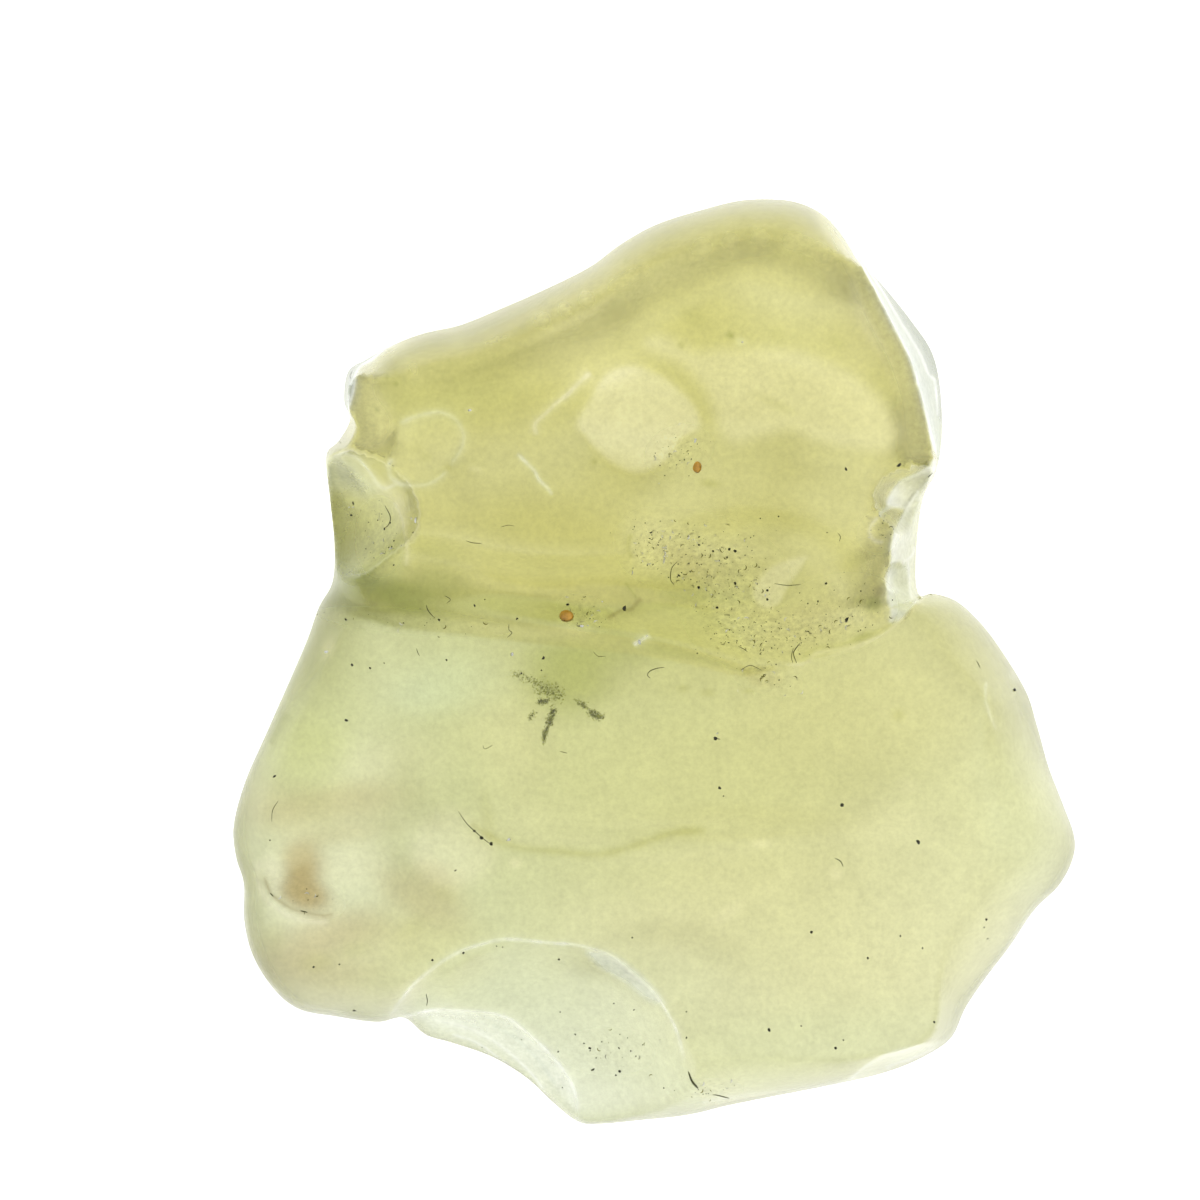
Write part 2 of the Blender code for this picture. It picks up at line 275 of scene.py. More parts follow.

# Edges of chips and scars, worn ridges, creases and cracks: half width, tint, its strength, how white it is
# worn, its height, and points along it. The pale lines other than the facet fibres are painted highlights
# along edges that catch the light, over worn white and mostly a slight real ridge; the crease, the waist
# foot, the seam shadow and the left rim shadow are painted shade
Line = namedtuple("Line", "width tint strength frost rise points")
LINES = {
    "scallop": Line(0.11, "snow", 0.75, 0.45, 0.06, [
        (-13.3, -17.7), (-12.7, -16.8), (-12, -15.9), (-11.2, -15.2), (-10.5, -14.7), (-9.6, -14.2),
        (-8.7, -13.9), (-7.8, -13.65), (-7, -13.6), (-6, -13.7), (-5, -13.8), (-4, -13.85), (-3, -14.1),
        (-2.2, -14.4), (-1.5, -14.9), (-1, -15.4), (0, -16.2), (0.5, -17), (1, -17.9), (1.3, -18.8),
        (1.5, -19.7),
    ]),
    "second facet": Line(0.12, "snow", 0.95, 0.6, 0.08, [
        (-12.7, -17.8), (-11.9, -17.5), (-11, -17.3), (-10, -17.3), (-9, -17.35), (-8, -17.5),
        (-7.2, -17.8), (-6.6, -18.3), (-5.9, -18.9), (-5.3, -19.5), (-4.7, -20.2), (-4.2, -21),
        (-3.9, -21.8), (-3.8, -22.5),
    ]),
    "facet fibre": Line(0.07, "snow", 0.7, 0.45, 0.03, [
        (-11.2, -17.8), (-9.8, -18.1), (-8.4, -18.7), (-7.2, -19.6), (-6.1, -20.7), (-5.4, -21.7),
    ]),
    "facet fibre below": Line(0.06, "snow", 0.7, 0.4, 0.03, [
        (-10.2, -18.6), (-9, -19), (-7.9, -19.8), (-7, -20.7),
    ]),
    "facet fibre outside": Line(0.06, "mist", 0.6, 0.3, 0.03, [
        (-8.2, -18), (-6.9, -18.8), (-5.8, -19.9), (-4.9, -21.2),
    ]),
    "left scar": Line(0.1, "snow", 0.8, 0.45, 0.06, [
        (-16, 10.4), (-15.2, 10.5), (-14.6, 10.2), (-14.1, 9.6), (-13.7, 9), (-13.3, 8.8), (-12.7, 9),
        (-12.3, 8.85),
    ]),
    "left scar side": Line(0.09, "milk", 0.5, 0.1, 0.03, [
        (-12.9, 8.2), (-12.6, 7.6), (-12.3, 6.6), (-12.2, 5.6), (-12.3, 4.9),
    ]),
    # Painted light: a paler, whiter band along the blunt end's slope, where the rounded shoulder would look
    # too dark
    "blunt end slope": Line(0.9, "straw", 0.85, 0.55, 0, [
        (-12.6, 14.3), (-11.4, 14.9), (-8.7, 15.8), (-6, 16.9), (-3.7, 17.9), (-1.5, 19), (0.8, 20),
        (3, 20.8), (6, 21), (8, 20.4), (9.8, 19),
    ]),
    "oval above": Line(0.13, "snow", 0.6, 0.2, 0.06, [
        (-12.6, 11.9), (-12, 12.2), (-11.3, 12.4), (-10.6, 12.5), (-10, 12.3), (-9.6, 11.9),
        (-9.4, 11.3), (-9.5, 10.8), (-9.8, 10.3), (-10.1, 9.9),
    ]),
    "oval below": Line(0.14, "snow", 0.7, 0.3, 0.06, [
        (-12.9, 10.3), (-13.1, 9.8), (-13, 9.3), (-12.5, 9), (-11.8, 8.9), (-11.1, 9), (-10.6, 9.3),
        (-10.2, 9.7),
    ]),
    "hollow streak": Line(0.15, "milk", 0.9, 0.3, 0.05, [
        (-3.1, 14.5), (-3.6, 14.1), (-4.3, 13.4), (-4.9, 12.9), (-5.4, 12.4), (-5.9, 11.9),
        (-5.8, 11.3),
    ]),
    "short crack": Line(0.1, "snow", 0.85, 0.35, 0.04, [
        (-6.8, 10.5), (-6.3, 10), (-5.9, 9.6), (-5.7, 9.2), (-5.3, 8.8), (-5, 8.4),
    ]),
    "right chip": Line(0.1, "snow", 0.85, 0.35, 0.04, [
        (8.8, 22.1), (9.5, 21.2), (10, 20.2), (10.7, 18.8), (11.5, 17.1), (12.3, 15.6), (12.7, 14.5),
        (13.1, 13.15), (13.5, 11.7), (14, 10.4),
    ]),
    "right chip ridge": Line(0.08, "snow", 0.7, 0.3, 0.04, [
        (9.7, 21.1), (11, 19.2), (12.05, 17.3), (13.1, 15.6), (13.6, 14.5), (14, 14.1), (14.1, 12.4),
    ]),
    "notch upper": Line(0.1, "snow", 0.9, 0.5, 0.06, [
        (14.1, 9.9), (13.4, 9.7), (12.7, 9.4), (12.1, 9.1), (11.8, 8.6), (11.5, 8),
    ]),
    "notch scoop": Line(0.09, "snow", 0.9, 0.5, 0.06, [
        (13.1, 8.7), (12.7, 8.2), (12.4, 7.85), (11.9, 7.95), (11.4, 7.75), (11, 7.4),
    ]),
    "scoop ring": Line(0.08, "milk", 0.6, 0.15, 0.03, [
        (11, 7.4), (10.65, 7), (10.55, 6.6), (10.8, 6.2), (11.3, 6.1),
    ]),
    "notch wall": Line(0.11, "snow", 0.95, 0.6, 0.06, [
        (14.1, 9.9), (13.5, 9.2), (12.9, 8.4), (12.5, 7.7), (12.1, 7.1), (11.8, 6.6), (11.6, 5.9),
        (11.7, 5.4), (11.6, 4.7), (11.5, 4), (11.5, 3.4), (11.7, 2.8), (11.6, 2.15),
    ]),
    "notch cross": Line(0.07, "snow", 0.9, 0.5, 0.04, [(13, 6), (12.95, 5.6), (12.6, 5.3), (12.1, 5)]),
    "notch inner": Line(0.07, "snow", 0.8, 0.4, 0.04, [
        (12.6, 5.3), (12.7, 4.45), (12.7, 3.65), (12.9, 3),
    ]),
    "seam lip": Line(0.1, "milk", 0.7, 0.15, 0.05, [
        (13.6, 3.65), (12.85, 3), (12.4, 2.5), (12, 2.15), (11.5, 1.75), (10.8, 1.35), (9.75, 1),
        (8.8, 0.8), (8, 0.65), (7.6, 0.3), (7.2, 0.1), (6.4, 0.05),
    ]),
    "top left chip": Line(0.1, "snow", 0.9, 0.5, 0.04, [
        (-12.7, 16.1), (-13.2, 15.9), (-14, 15.2), (-14.6, 14.8), (-14.7, 14.2), (-14.8, 13.5),
        (-15, 12.8), (-15.2, 12.3),
    ]),
    "right edge": Line(0.09, "snow", 0.6, 0.2, 0.04, [
        (16.4, -0.7), (16.3, -1.5), (16.5, -2.3), (16.9, -3.2),
    ]),
    "tail chip": Line(0.08, "snow", 0.8, 0.4, 0.04, [
        (9.8, -20.9), (10.3, -20.2), (10.8, -19.8), (11.6, -19.3), (12.5, -19), (13.4, -18.9),
    ]),
    "tail chip inner": Line(0.08, "snow", 0.7, 0.3, 0.03, [
        (11.6, -20.3), (12.1, -20), (12.8, -19.8), (13.5, -19.5), (14.2, -19.2),
    ]),
    "right rim": Line(0.16, "snow", 0.6, 0.25, 0, [
        (20, -11.2), (18.5, -13), (17, -15.2), (16, -16.6), (15.2, -18.2), (14.7, -18.9),
    ]),
    "tail rim": Line(0.16, "snow", 0.5, 0.2, 0, [
        (2.4, -21.9), (3.5, -21.7), (6, -21.4), (8, -21.2), (9.8, -20.9),
    ]),
    "lower left rim": Line(0.16, "snow", 0.5, 0.15, 0, [
        (-20.4, -11.2), (-20.4, -13), (-19.9, -14.6), (-19.1, -16), (-18.2, -16.8), (-17, -17.2),
        (-15, -17.5),
    ]),
    "stain rim": Line(0.15, "milk", 0.6, 0.12, 0.05, [
        (-19.7, -9.6), (-19.8, -10.5), (-19.5, -11.5), (-18.9, -12.1), (-18, -12.6), (-17, -12.8),
        (-16.2, -12.8),
    ]),
    "stain foot": Line(0.08, "bark", 0.8, 0, -0.03, [
        (-19.5, -10.5), (-19.2, -11.3), (-18.8, -11.7), (-18, -12.2), (-17.2, -12.4), (-16.5, -12.5),
        (-16, -12.4),
    ]),
    # Painted shade along the crease, over a shallow real groove
    "crease": Line(0.2, "moss", 0.75, 0, -0.08, [
        (-9.2, -7.8), (-8.2, -8.5), (-7.2, -8.9), (-6.3, -9.1), (-4.9, -9.2), (-3, -9.35), (-1.6, -9.1),
        (-0.1, -8.6), (1.1, -8.2), (2.6, -8.1),
    ]),
    # Painted shade along the foot of the waist valley, over a slight real groove
    "waist foot": Line(0.22, "shade", 0.75, 0, -0.05, [
        (-15.6, 3.6), (-14.5, 3), (-13.4, 2.8), (-12.4, 2.9), (-11.3, 2.9),
    ]),
    "waist mark": Line(0.12, "bark", 0.75, 0, -0.05, [
        (-2.4, 2.35), (-2, 2.55), (-1.6, 2.8), (-1.2, 2.8), (-0.9, 3.1), (-0.6, 3.4),
    ]),
    "waist hair": Line(0.07, "shade", 0.6, 0, -0.03, [(-1.5, 4.2), (-1.2, 3.8), (-0.8, 3.3)]),
    "waist flash": Line(0.14, "snow", 0.9, 0.45, 0.03, [
        (-1.1, 1), (-0.8, 1.2), (-0.5, 1.4), (-0.2, 1.6),
    ]),
    "hollow arc": Line(0.1, "moss", 0.7, 0, -0.03, [
        (-1.15, 6.6), (-1.3, 6), (-1.25, 5.6), (-1.1, 5.3),
    ]),
    "left rim shadow": Line(0.2, "shade", 0.65, 0, 0, [(-18.3, -2.3), (-18.8, -3.1), (-19.2, -4)]),
    "seam shadow": Line(0.14, "moss", 0.45, 0, -0.05, [
        (7.2, 0.4), (8, 0.9), (8.8, 1.05), (9.75, 1.25), (10.8, 1.6), (11.5, 2), (12, 2.5),
    ]),
    "teardrop side": Line(0.08, "moss", 0.45, 0, -0.03, [
        (7.55, 5.3), (7.3, 4.7), (6.75, 3.9), (6.3, 3.1), (5.9, 2.85),
    ]),
}

# A stretch of the skin inside a smooth outline, which may share points with a line: how soft its edge is, its
# tint, the tint's strength, its rise, how white it is worn, and the outline. Some patches paint light and
# some paint shade, as noted beside them
Patch = namedtuple("Patch", "soft tint strength rise frost outline")
PATCHES = {
    "blunt end belt": Patch(0.7, "moss", 0.4, 0, 0, [
        (-2.2, 20.3), (1.1, 21.2), (3.4, 20.8), (4.8, 20.5), (6.4, 20), (8.6, 19.9), (10.6, 20.2),
        (10, 24), (4, 25), (-1, 23),
    ]),
    "round hollow": Patch(0.28, "milk", 0.95, -0.12, 0.14, [
        (-3.9, 12), (-3.2, 13.2), (-2.4, 14.4), (-1.2, 14.85), (0.3, 14.4), (1.4, 13.5), (2.1, 12.6),
        (2.2, 11.7), (1.3, 11.2), (0.8, 10.3), (0, 9.7), (-0.9, 9.45), (-1.9, 9.8), (-2.8, 10.5),
        (-3.4, 11.2),
    ]),
    "basin": Patch(0.55, "milk", 0.74, -0.12, 0.1, [
        (-0.4, 15.9), (0.3, 16.2), (1.2, 15.9), (2, 15.5), (3.3, 15.6), (4.8, 15.6), (6.2, 15.5),
        (7, 15.4), (8.2, 15), (9.3, 14.4), (10.2, 13.9), (11.3, 13), (12, 12), (12.1, 11.2),
        (11.4, 10.6), (9.5, 10.8), (7.8, 11.2), (6.5, 11.6), (5, 11.2), (3.9, 11), (3.2, 11.6),
        (2.9, 12.6), (2.3, 13.8), (1.2, 14.9), (0.2, 15.3),
    ]),
    "oval mark": Patch(0.25, "sand", 0.55, -0.12, 0, [
        (-12.5, 11.95), (-11.7, 12.36), (-10.8, 12.5), (-10.05, 12.3), (-9.5, 11.8), (-9.4, 11.2),
        (-9.67, 10.5), (-10.2, 9.8), (-10.9, 9.1), (-11.8, 8.9), (-12.6, 9), (-13.1, 9.5), (-13.1, 10),
        (-12.9, 11.2),
    ]),
    "left scar": Patch(0.45, "fern", 0.6, 0, 0.38, [
        (-15.9, 10.45), *LINES["left scar"].points[1:5], (-13.3, 8.7), *LINES["left scar side"].points,
        (-12.8, 4.2), (-14.2, 3.9), (-16.2, 4), (-17.5, 7), (-17, 10.4),
    ]),
    "left scar lip": Patch(0.5, "mist", 0.35, 0, 0.05, [
        (-16.5, 10.3), (-15.9, 10.45), (-15.2, 10.4), (-14.6, 10.1), (-14.1, 9.5), (-13.7, 8.9),
        (-14.4, 8.5), (-15.4, 8.9), (-16.3, 8.9),
    ]),
    # Painted shade on the steep corner at the waist, which the light leaves too bright
    "waist corner": Patch(0.5, "shade", 0.9, 0, 0.3, [
        (-18.2, 4.6), (-16.5, 5), (-14.6, 4.8), (-13.4, 4.1), (-14.4, 3.3), (-16.2, 3), (-18.4, 3),
    ]),
    "pitted hollow": Patch(0.6, "sand", 0.45, -0.06, 0, [
        (-1.5, 6.8), (-0.3, 7.3), (1.5, 7.2), (3.4, 6.7), (5.4, 7.2), (7.4, 6.6), (9, 5.4), (9.8, 3.8),
        (10.4, 2.3), (9.2, 1.3), (7, 0.6), (5.2, 0.1), (4.2, 1.2), (3.2, 2.6), (2.4, 4), (1, 4.3),
        (0, 4.7), (-1, 5),
    ]),
    "teardrop": Patch(0.22, "milk", 0.75, -0.1, 0.12, [
        (7.5, 5.4), (7.2, 4.7), (6.6, 3.9), (6.2, 3.1), (5.5, 2.85), (5, 3.2), (4.9, 3.8), (5.4, 4.6),
        (6.3, 5.2),
    ]),
    "dirt patch": Patch(0.25, "umber", 0.3, 0, 0, [
        (4.4, -0.1), (5.2, -0.15), (6.3, -0.5), (6, -0.95), (5.1, -1), (4.6, -0.6),
    ]),
    "pale oval": Patch(0.6, "milk", 0.6, -0.08, 0.05, [
        (-9.7, -7.3), (-9, -8.15), (-8.5, -8.6), (-8, -9), (-8.1, -9.9), (-8.9, -10.6), (-10, -11),
        (-11.2, -10.6), (-11.9, -9.6), (-11.8, -8.4), (-10.9, -7.4),
    ]),
    "scallop": Patch(0.3, "mist", 0.42, 0, 0, [
        (-13.3, -17.7), (-12, -15.9), (-11.2, -15.2), (-9.6, -14.2), (-7.8, -13.65), (-5, -13.8),
        (-3, -14.1), (-1.5, -14.9), (0, -16.2), (1, -17.9), (1.5, -19.7), (2.2, -21.3), (3, -24),
        (-5, -26), (-13, -22),
    ]),
    # Painted light: a paler, whiter stretch on the scallop's steep wall, where it would look too dark
    "scallop wall": Patch(0.25, "mist", 0.6, 0, 0.5, [
        (-3.4, -14.2), (-2.2, -14.3), (-1.2, -14.9), (-0.2, -15.8), (0.5, -16.8), (-0.4, -16.6),
        (-1.4, -15.8), (-2.6, -15.1),
    ]),
    "second facet": Patch(0.2, "snow", 0.5, -0.1, 0.35, [
        (-12.9, -17.8), *LINES["second facet"].points[1:13], (-3.8, -24.5), (-8, -24), (-13, -20),
    ]),
    # Painted light: a paler, whiter bank beside the chip, where the steep chip would darken it
    "right chip bank": Patch(0.5, "straw", 0.95, 0, 0.65, [
        (8, 22.4), (8.9, 20.2), (9.7, 18.6), (10.4, 16.9), (11.2, 15.4), (11.7, 14.2), (12.1, 12.9),
        (12.3, 11.4), (12.6, 10.2), (14, 10.4), (13.5, 11.7), (13.1, 13.2),
        *LINES["right chip"].points[6:1:-1], (8.6, 22.6),
    ]),
    # Painted light: a paler, whiter bank beside the notch's chips, where they would darken it
    "notch bank": Patch(0.6, "straw", 0.9, 0, 0.45, [
        (10.6, 9.2), (10.2, 7.4), (10.4, 5.4), (10.2, 3.4), (10.6, 2.2), (11.8, 2.2), (11.7, 4),
        (11.7, 6), (12.1, 7.8), (11.8, 9),
    ]),
    # Painted light: a paler, whiter bank beside the chip, where the steep chip would darken it
    "top left bank": Patch(0.4, "straw", 0.8, 0, 0.55, [
        (-12.2, 16.2), (-12.6, 15.4), (-13.4, 14.8), (-13.7, 13.6), (-12.9, 12.2), (-13.3, 10.9),
        (-15, 10.9), (-15.3, 12.2), (-14.9, 13), (-14.7, 14.2), (-14, 15.2), (-13, 16),
    ]),
    # The chip's face, worn white and greyed with painted shade
    "right chip": Patch(0.1, "steel", 0.95, 0, 0.85, [
        (8.6, 22.6), *LINES["right chip"].points[1:], (16, 10), (16, 16), (12, 21),
    ]),
    # Painted shade on the chip's steep outer face
    "right chip outer face": Patch(0.15, "slate", 1, 0, 0, [
        (9.5, 21.5), *LINES["right chip ridge"].points[1:], (16, 12), (16, 18), (11, 23),
    ]),
    "notch chips": Patch(0.12, "snow", 0.85, 0, 0.5, [
        (14.3, 10.1), (13.2, 9.7), (12.4, 9.3), (11.8, 8.7), (11.5, 8), (11.9, 7.9), (12.4, 7.8),
        *LINES["notch wall"].points[4:], (12.1, 2.3), (12.8, 3), (13.5, 3.6), (16, 6),
    ]),
    "notch inner face": Patch(0.12, "mist", 0.5, 0, -0.1, [
        (11.6, 5.2), (12.1, 5), (12.6, 5.2), (12.7, 4.4), (12.7, 3.6), (12.8, 3), (12.1, 2.4),
        (11.8, 2.2), (11.7, 2.8), (11.5, 3.4), (11.6, 4.4),
    ]),
    # The chip's face, worn white and greyed with painted shade
    "top left chip": Patch(0.1, "slate", 0.95, 0, 0.85, [
        (-12.6, 16.5), (-13.2, 15.95), *LINES["top left chip"].points[2:7], (-15.3, 12.2), (-17, 12.5),
        (-16.5, 16.5),
    ]),
    "tail chip": Patch(0.12, "snow", 0.45, 0, 0.3, [
        (9.4, -21), *LINES["tail chip"].points[1:5], (13.3, -18.9), (14.6, -18.8), (15.6, -19.6),
        (13, -22), (9.6, -22),
    ]),
}

# Brown stain, other small soft marks on the skin, and painted shade along the waist: middle, half lengths,
# turn, tint, strength
SKIN_MARKS = [
    ((-17.6, -10.4), (1.1, 1.7), -15, "rust", 0.95),
    ((-17.8, -9.4), (0.8, 0.6), 10, "umber", 0.6),
    ((-17.1, -11.5), (1.1, 0.8), -25, "rust", 0.9),
    ((-18, -11.5), (1.2, 0.5), -35, "rust", 0.6),
    ((-19.1, -10.4), (0.5, 1), 5, "milk", 0.6),
    ((-14.6, -10.3), (1.9, 1.9), 0, "milk", 0.12),
    ((-0.2, 6), (1.3, 1.2), 0, "milk", 0.35),
    ((7.6, 2), (2.8, 1), 15, "umber", 0.22),
    ((1.6, 5.2), (1.6, 0.7), -30, "umber", 0.25),
    ((-16.8, -14.8), (0.9, 0.5), 10, "moss", 0.45),
    ((-15, -14.2), (0.9, 0.4), 10, "moss", 0.35),
    ((-12, -13), (0.9, 0.5), 30, "moss", 0.3),
    ((-19, -13.5), (0.6, 0.8), 0, "moss", 0.3),
    ((-10.5, -11.3), (0.7, 0.4), -30, "moss", 0.25),
    ((4.4, 13.9), (1.5, 1), 20, "milk", 0.45),
    ((4.2, 16), (0.25, 0.2), 0, "snow", 0.55),
    ((3.7, 16.3), (0.2, 0.17), 0, "shade", 0.95),
    ((1.3, 15.8), (0.2, 0.17), 0, "moss", 0.9),
    ((1.8, 17.2), (0.8, 0.45), -30, "moss", 0.45),
    ((6, 16.3), (0.5, 0.35), -40, "moss", 0.4),
    ((9, 15.9), (0.5, 0.3), -30, "moss", 0.5),
    ((6, 12.9), (1.2, 0.22), -25, "moss", 0.35),
    ((7.5, 21.2), (0.5, 0.25), 10, "sand", 0.6),
    ((-13.2, 14.3), (0.14, 0.12), 0, "shade", 0.8),
    ((-12.8, 13.9), (0.13, 0.11), 0, "shade", 0.7),
    ((-13.8, 12.7), (0.2, 0.08), -40, "shade", 0.6),
    ((-1.5, 19.9), (0.14, 0.12), 0, "shade", 0.8),
    ((-3, 10.1), (0.2, 0.16), 60, "moss", 0.9),
    ((-11.8, 10.7), (0.4, 0.3), 0, "moss", 0.3),
    ((-11.3, 10.3), (0.3, 0.2), 0, "moss", 0.4),
    ((-8.8, 9.7), (0.35, 0.15), -15, "milk", 0.9),
    ((-9.1, 12.6), (0.2, 0.15), 0, "milk", 0.7),
    ((2.7, 9), (0.5, 0.2), -10, "moss", 0.8),
    ((1.5, 3.5), (0.9, 0.55), -10, "moss", 0.55),
    ((10.8, 3.1), (0.5, 0.4), 20, "shade", 0.8),
    ((11.1, 3.7), (0.3, 0.35), 0, "bark", 0.5),
    ((10.2, 3.3), (0.5, 0.25), 10, "moss", 0.6),
    ((11.4, 5.8), (0.25, 0.5), 0, "moss", 0.6),
    ((10, 5.2), (0.9, 0.25), 25, "moss", 0.45),
    ((10.2, 1.45), (0.6, 0.22), 18, "shade", 0.75),
    # Painted shade along the waist valley
    ((-13.2, 3.4), (3.4, 0.8), -8, "shade", 0.9),
    ((-8.6, 3), (3.2, 0.6), -5, "moss", 0.55),
    ((-14.5, 3.1), (0.6, 0.25), -10, "shade", 0.8),
    ((-13.3, 2.8), (0.4, 0.2), 0, "shade", 0.5),
    ((-15.6, 3.4), (0.3, 0.3), 0, "shade", 0.6),
    ((-16.2, 0.9), (0.3, 0.55), -15, "milk", 0.8),
    ((-4, 1.9), (1.2, 0.4), 0, "milk", 0.5),
    ((-5.2, -1.1), (0.8, 0.4), -35, "shade", 0.55),
    ((12, -2.4), (0.35, 0.3), 0, "moss", 0.55),
    ((1.4, -1.1), (0.3, 0.15), 0, "moss", 0.6),
    ((2.6, -1.3), (0.4, 0.15), 0, "moss", 0.6),
    ((4.6, -1.2), (0.25, 0.12), 0, "moss", 0.6),
    ((1.6, -8.2), (0.9, 0.22), 5, "moss", 0.6),
    ((-6.9, -9.8), (0.3, 0.25), 0, "milk", 0.9),
    ((5.3, -8.8), (0.5, 0.2), 0, "milk", 0.8),
    ((12.5, -5.9), (0.6, 0.4), 0, "milk", 0.4),
    ((3.7, -12.2), (0.9, 0.35), 35, "milk", 0.55),
    ((9, -10.3), (0.35, 0.35), 0, "milk", 0.7),
    ((-8.3, -7.4), (0.35, 1.2), 8, "moss", 0.3),
    ((17.9, -0.5), (0.3, 0.3), 0, "snow", 0.6),
]

# Where the skin is pitted: middle, half lengths, turn, how densely
PITTING = [
    ((2.4, 5.4), (3, 1.5), -15, 0.8),
    ((4, 3), (2, 1.8), -40, 0.9),
    ((6, 1.6), (2.6, 1), 5, 0.9),
    ((9, 2.6), (2.2, 1.4), 15, 0.6),
    ((5.5, -0.5), (1.3, 0.6), -15, 0.9),
    ((-3.4, 2.6), (1, 0.6), -20, 1),
    ((1.2, 10.6), (1.2, 0.9), 20, 0.8),
    ((-0.2, 6), (1.2, 1.3), 0, 0.5),
    ((-12, 2.2), (4, 0.5), -5, 0.25),
    ((-13.6, 6.4), (1, 1.6), 0, 0.3),
    ((11, 6.6), (0.8, 0.8), 0, 0.4),
    ((-17.4, -11.6), (1.6, 0.8), -15, 0.3),
    ((2.6, -21.2), (1.4, 0.5), 0, 0.5),
    ((-2.4, -19.4), (2, 1), 0, 0.25),
]

# Dark specks lodged in the skin, in millimetres from the middle, by their half size
SPECKS = {
    0.055: [
        (-13.1, 7.1), (-12.9, 6.2), (-13, 5.9), (-12.9, 5), (-11.9, 6.6), (6.1, 7.4), (8.5, 6.6),
        (5.2, 7.3), (2.2, 6.4), (1.7, 5.1), (2.1, 5.1), (1.8, 4.3), (0.7, 4.4), (3.2, 3.6), (3.7, 1.8),
        (7.6, 3.1), (-8.4, 3.3), (-5.6, -0.2), (-6.6, -0.35), (-13.4, 0.15), (2.1, 0.65), (3.4, -6.4),
        (-9.9, -10.2), (12.2, -13.4), (13.3, -14), (16.4, -13), (16.6, -13.6), (1.6, -17.2),
        (1.6, -18.5), (9.4, -18.6), (-1.1, -13.5), (7.3, -17.9), (-15.7, -14.9), (-7.85, -13.95),
        (-7.55, -14), (-2, -16.9), (-1, -17.2), (-4.7, -17.4), (-1.7, -18.5), (-3.95, -18.55),
        (-3.5, -19), (-2.6, -18.9), (-1.75, -19.2), (-6.65, -18.85), (-4.8, -19.45), (-8.65, -19.3),
        (-1.9, -20.6), (-4.6, -21.3), (-0.9, -19.6), (0.5, -21.15), (11.6, 6.5), (11.05, 7.4),
        (-19.15, -8.7),
    ],
    0.09: [
        (-15, 8.1), (-15.1, 7.5), (-13.4, 6.8), (9.4, 9.7), (-0.2, 6.6), (2.2, 6), (2.9, 5.7),
        (3.7, 5.8), (4, 5.7), (3.6, 5.4), (1.2, 4.5), (2.2, 3.9), (5.6, 3.75), (8.1, 3.2), (8.5, 4.1),
        (-15.3, 2.3), (-10.65, 2.3), (-8.9, 3), (-6.8, 2.35), (-15, 0.05), (-14.1, -0.1), (-10.3, 0.3),
        (-5.5, 0.4), (-15.3, -2.7), (3.2, -6), (-18.9, -5.5), (10.6, -14.5), (16.5, -12.6),
        (13.9, -17.7), (9, -19), (-17, -15.05), (-15, -17.3), (-11.05, -14.65), (-9.5, -14.3),
        (-4.75, -14.65), (-3.2, -19.25), (-3.05, -20.35), (-1.7, -20.4), (-4.3, 3.05), (5.6, 3.3),
        (3.1, 2.9),
    ],
    0.12: [
        (4, 4.1), (9.5, 2.3), (3, -3.55), (9.25, -6.85), (13.05, -8.7), (7.8, -13.2), (5.7, -18.1),
        (17.9, -1.2), (12, 9.9), (-1.5, 2.85), (-8.95, -8.2), (-8.6, -8.55), (-8.1, -8.85),
    ],
}

# Painted glints: small white crumbs where pits in the skin sparkle, by their half size
FLECKS = {
    0.07: [
        (-12, 7.3), (-15.2, 7.9), (-3.3, 2), (-0.4, 1.5), (5.5, 3.5), (-7.3, -8.65), (-2.6, 3.2),
        (-15, 7.9), (4.1, 3.9), (3.1, -3.3), (-15.6, 11.1), (4.3, 15.95), (0.2, 9), (-9.1, 12.6),
    ],
    0.12: [
        (-11.75, 7.2), (-7.05, 0.6), (-3.6, 2), (-0.75, 1.2), (-7.2, -8.6), (2, 11.1), (-16.3, 0.7),
    ],
}

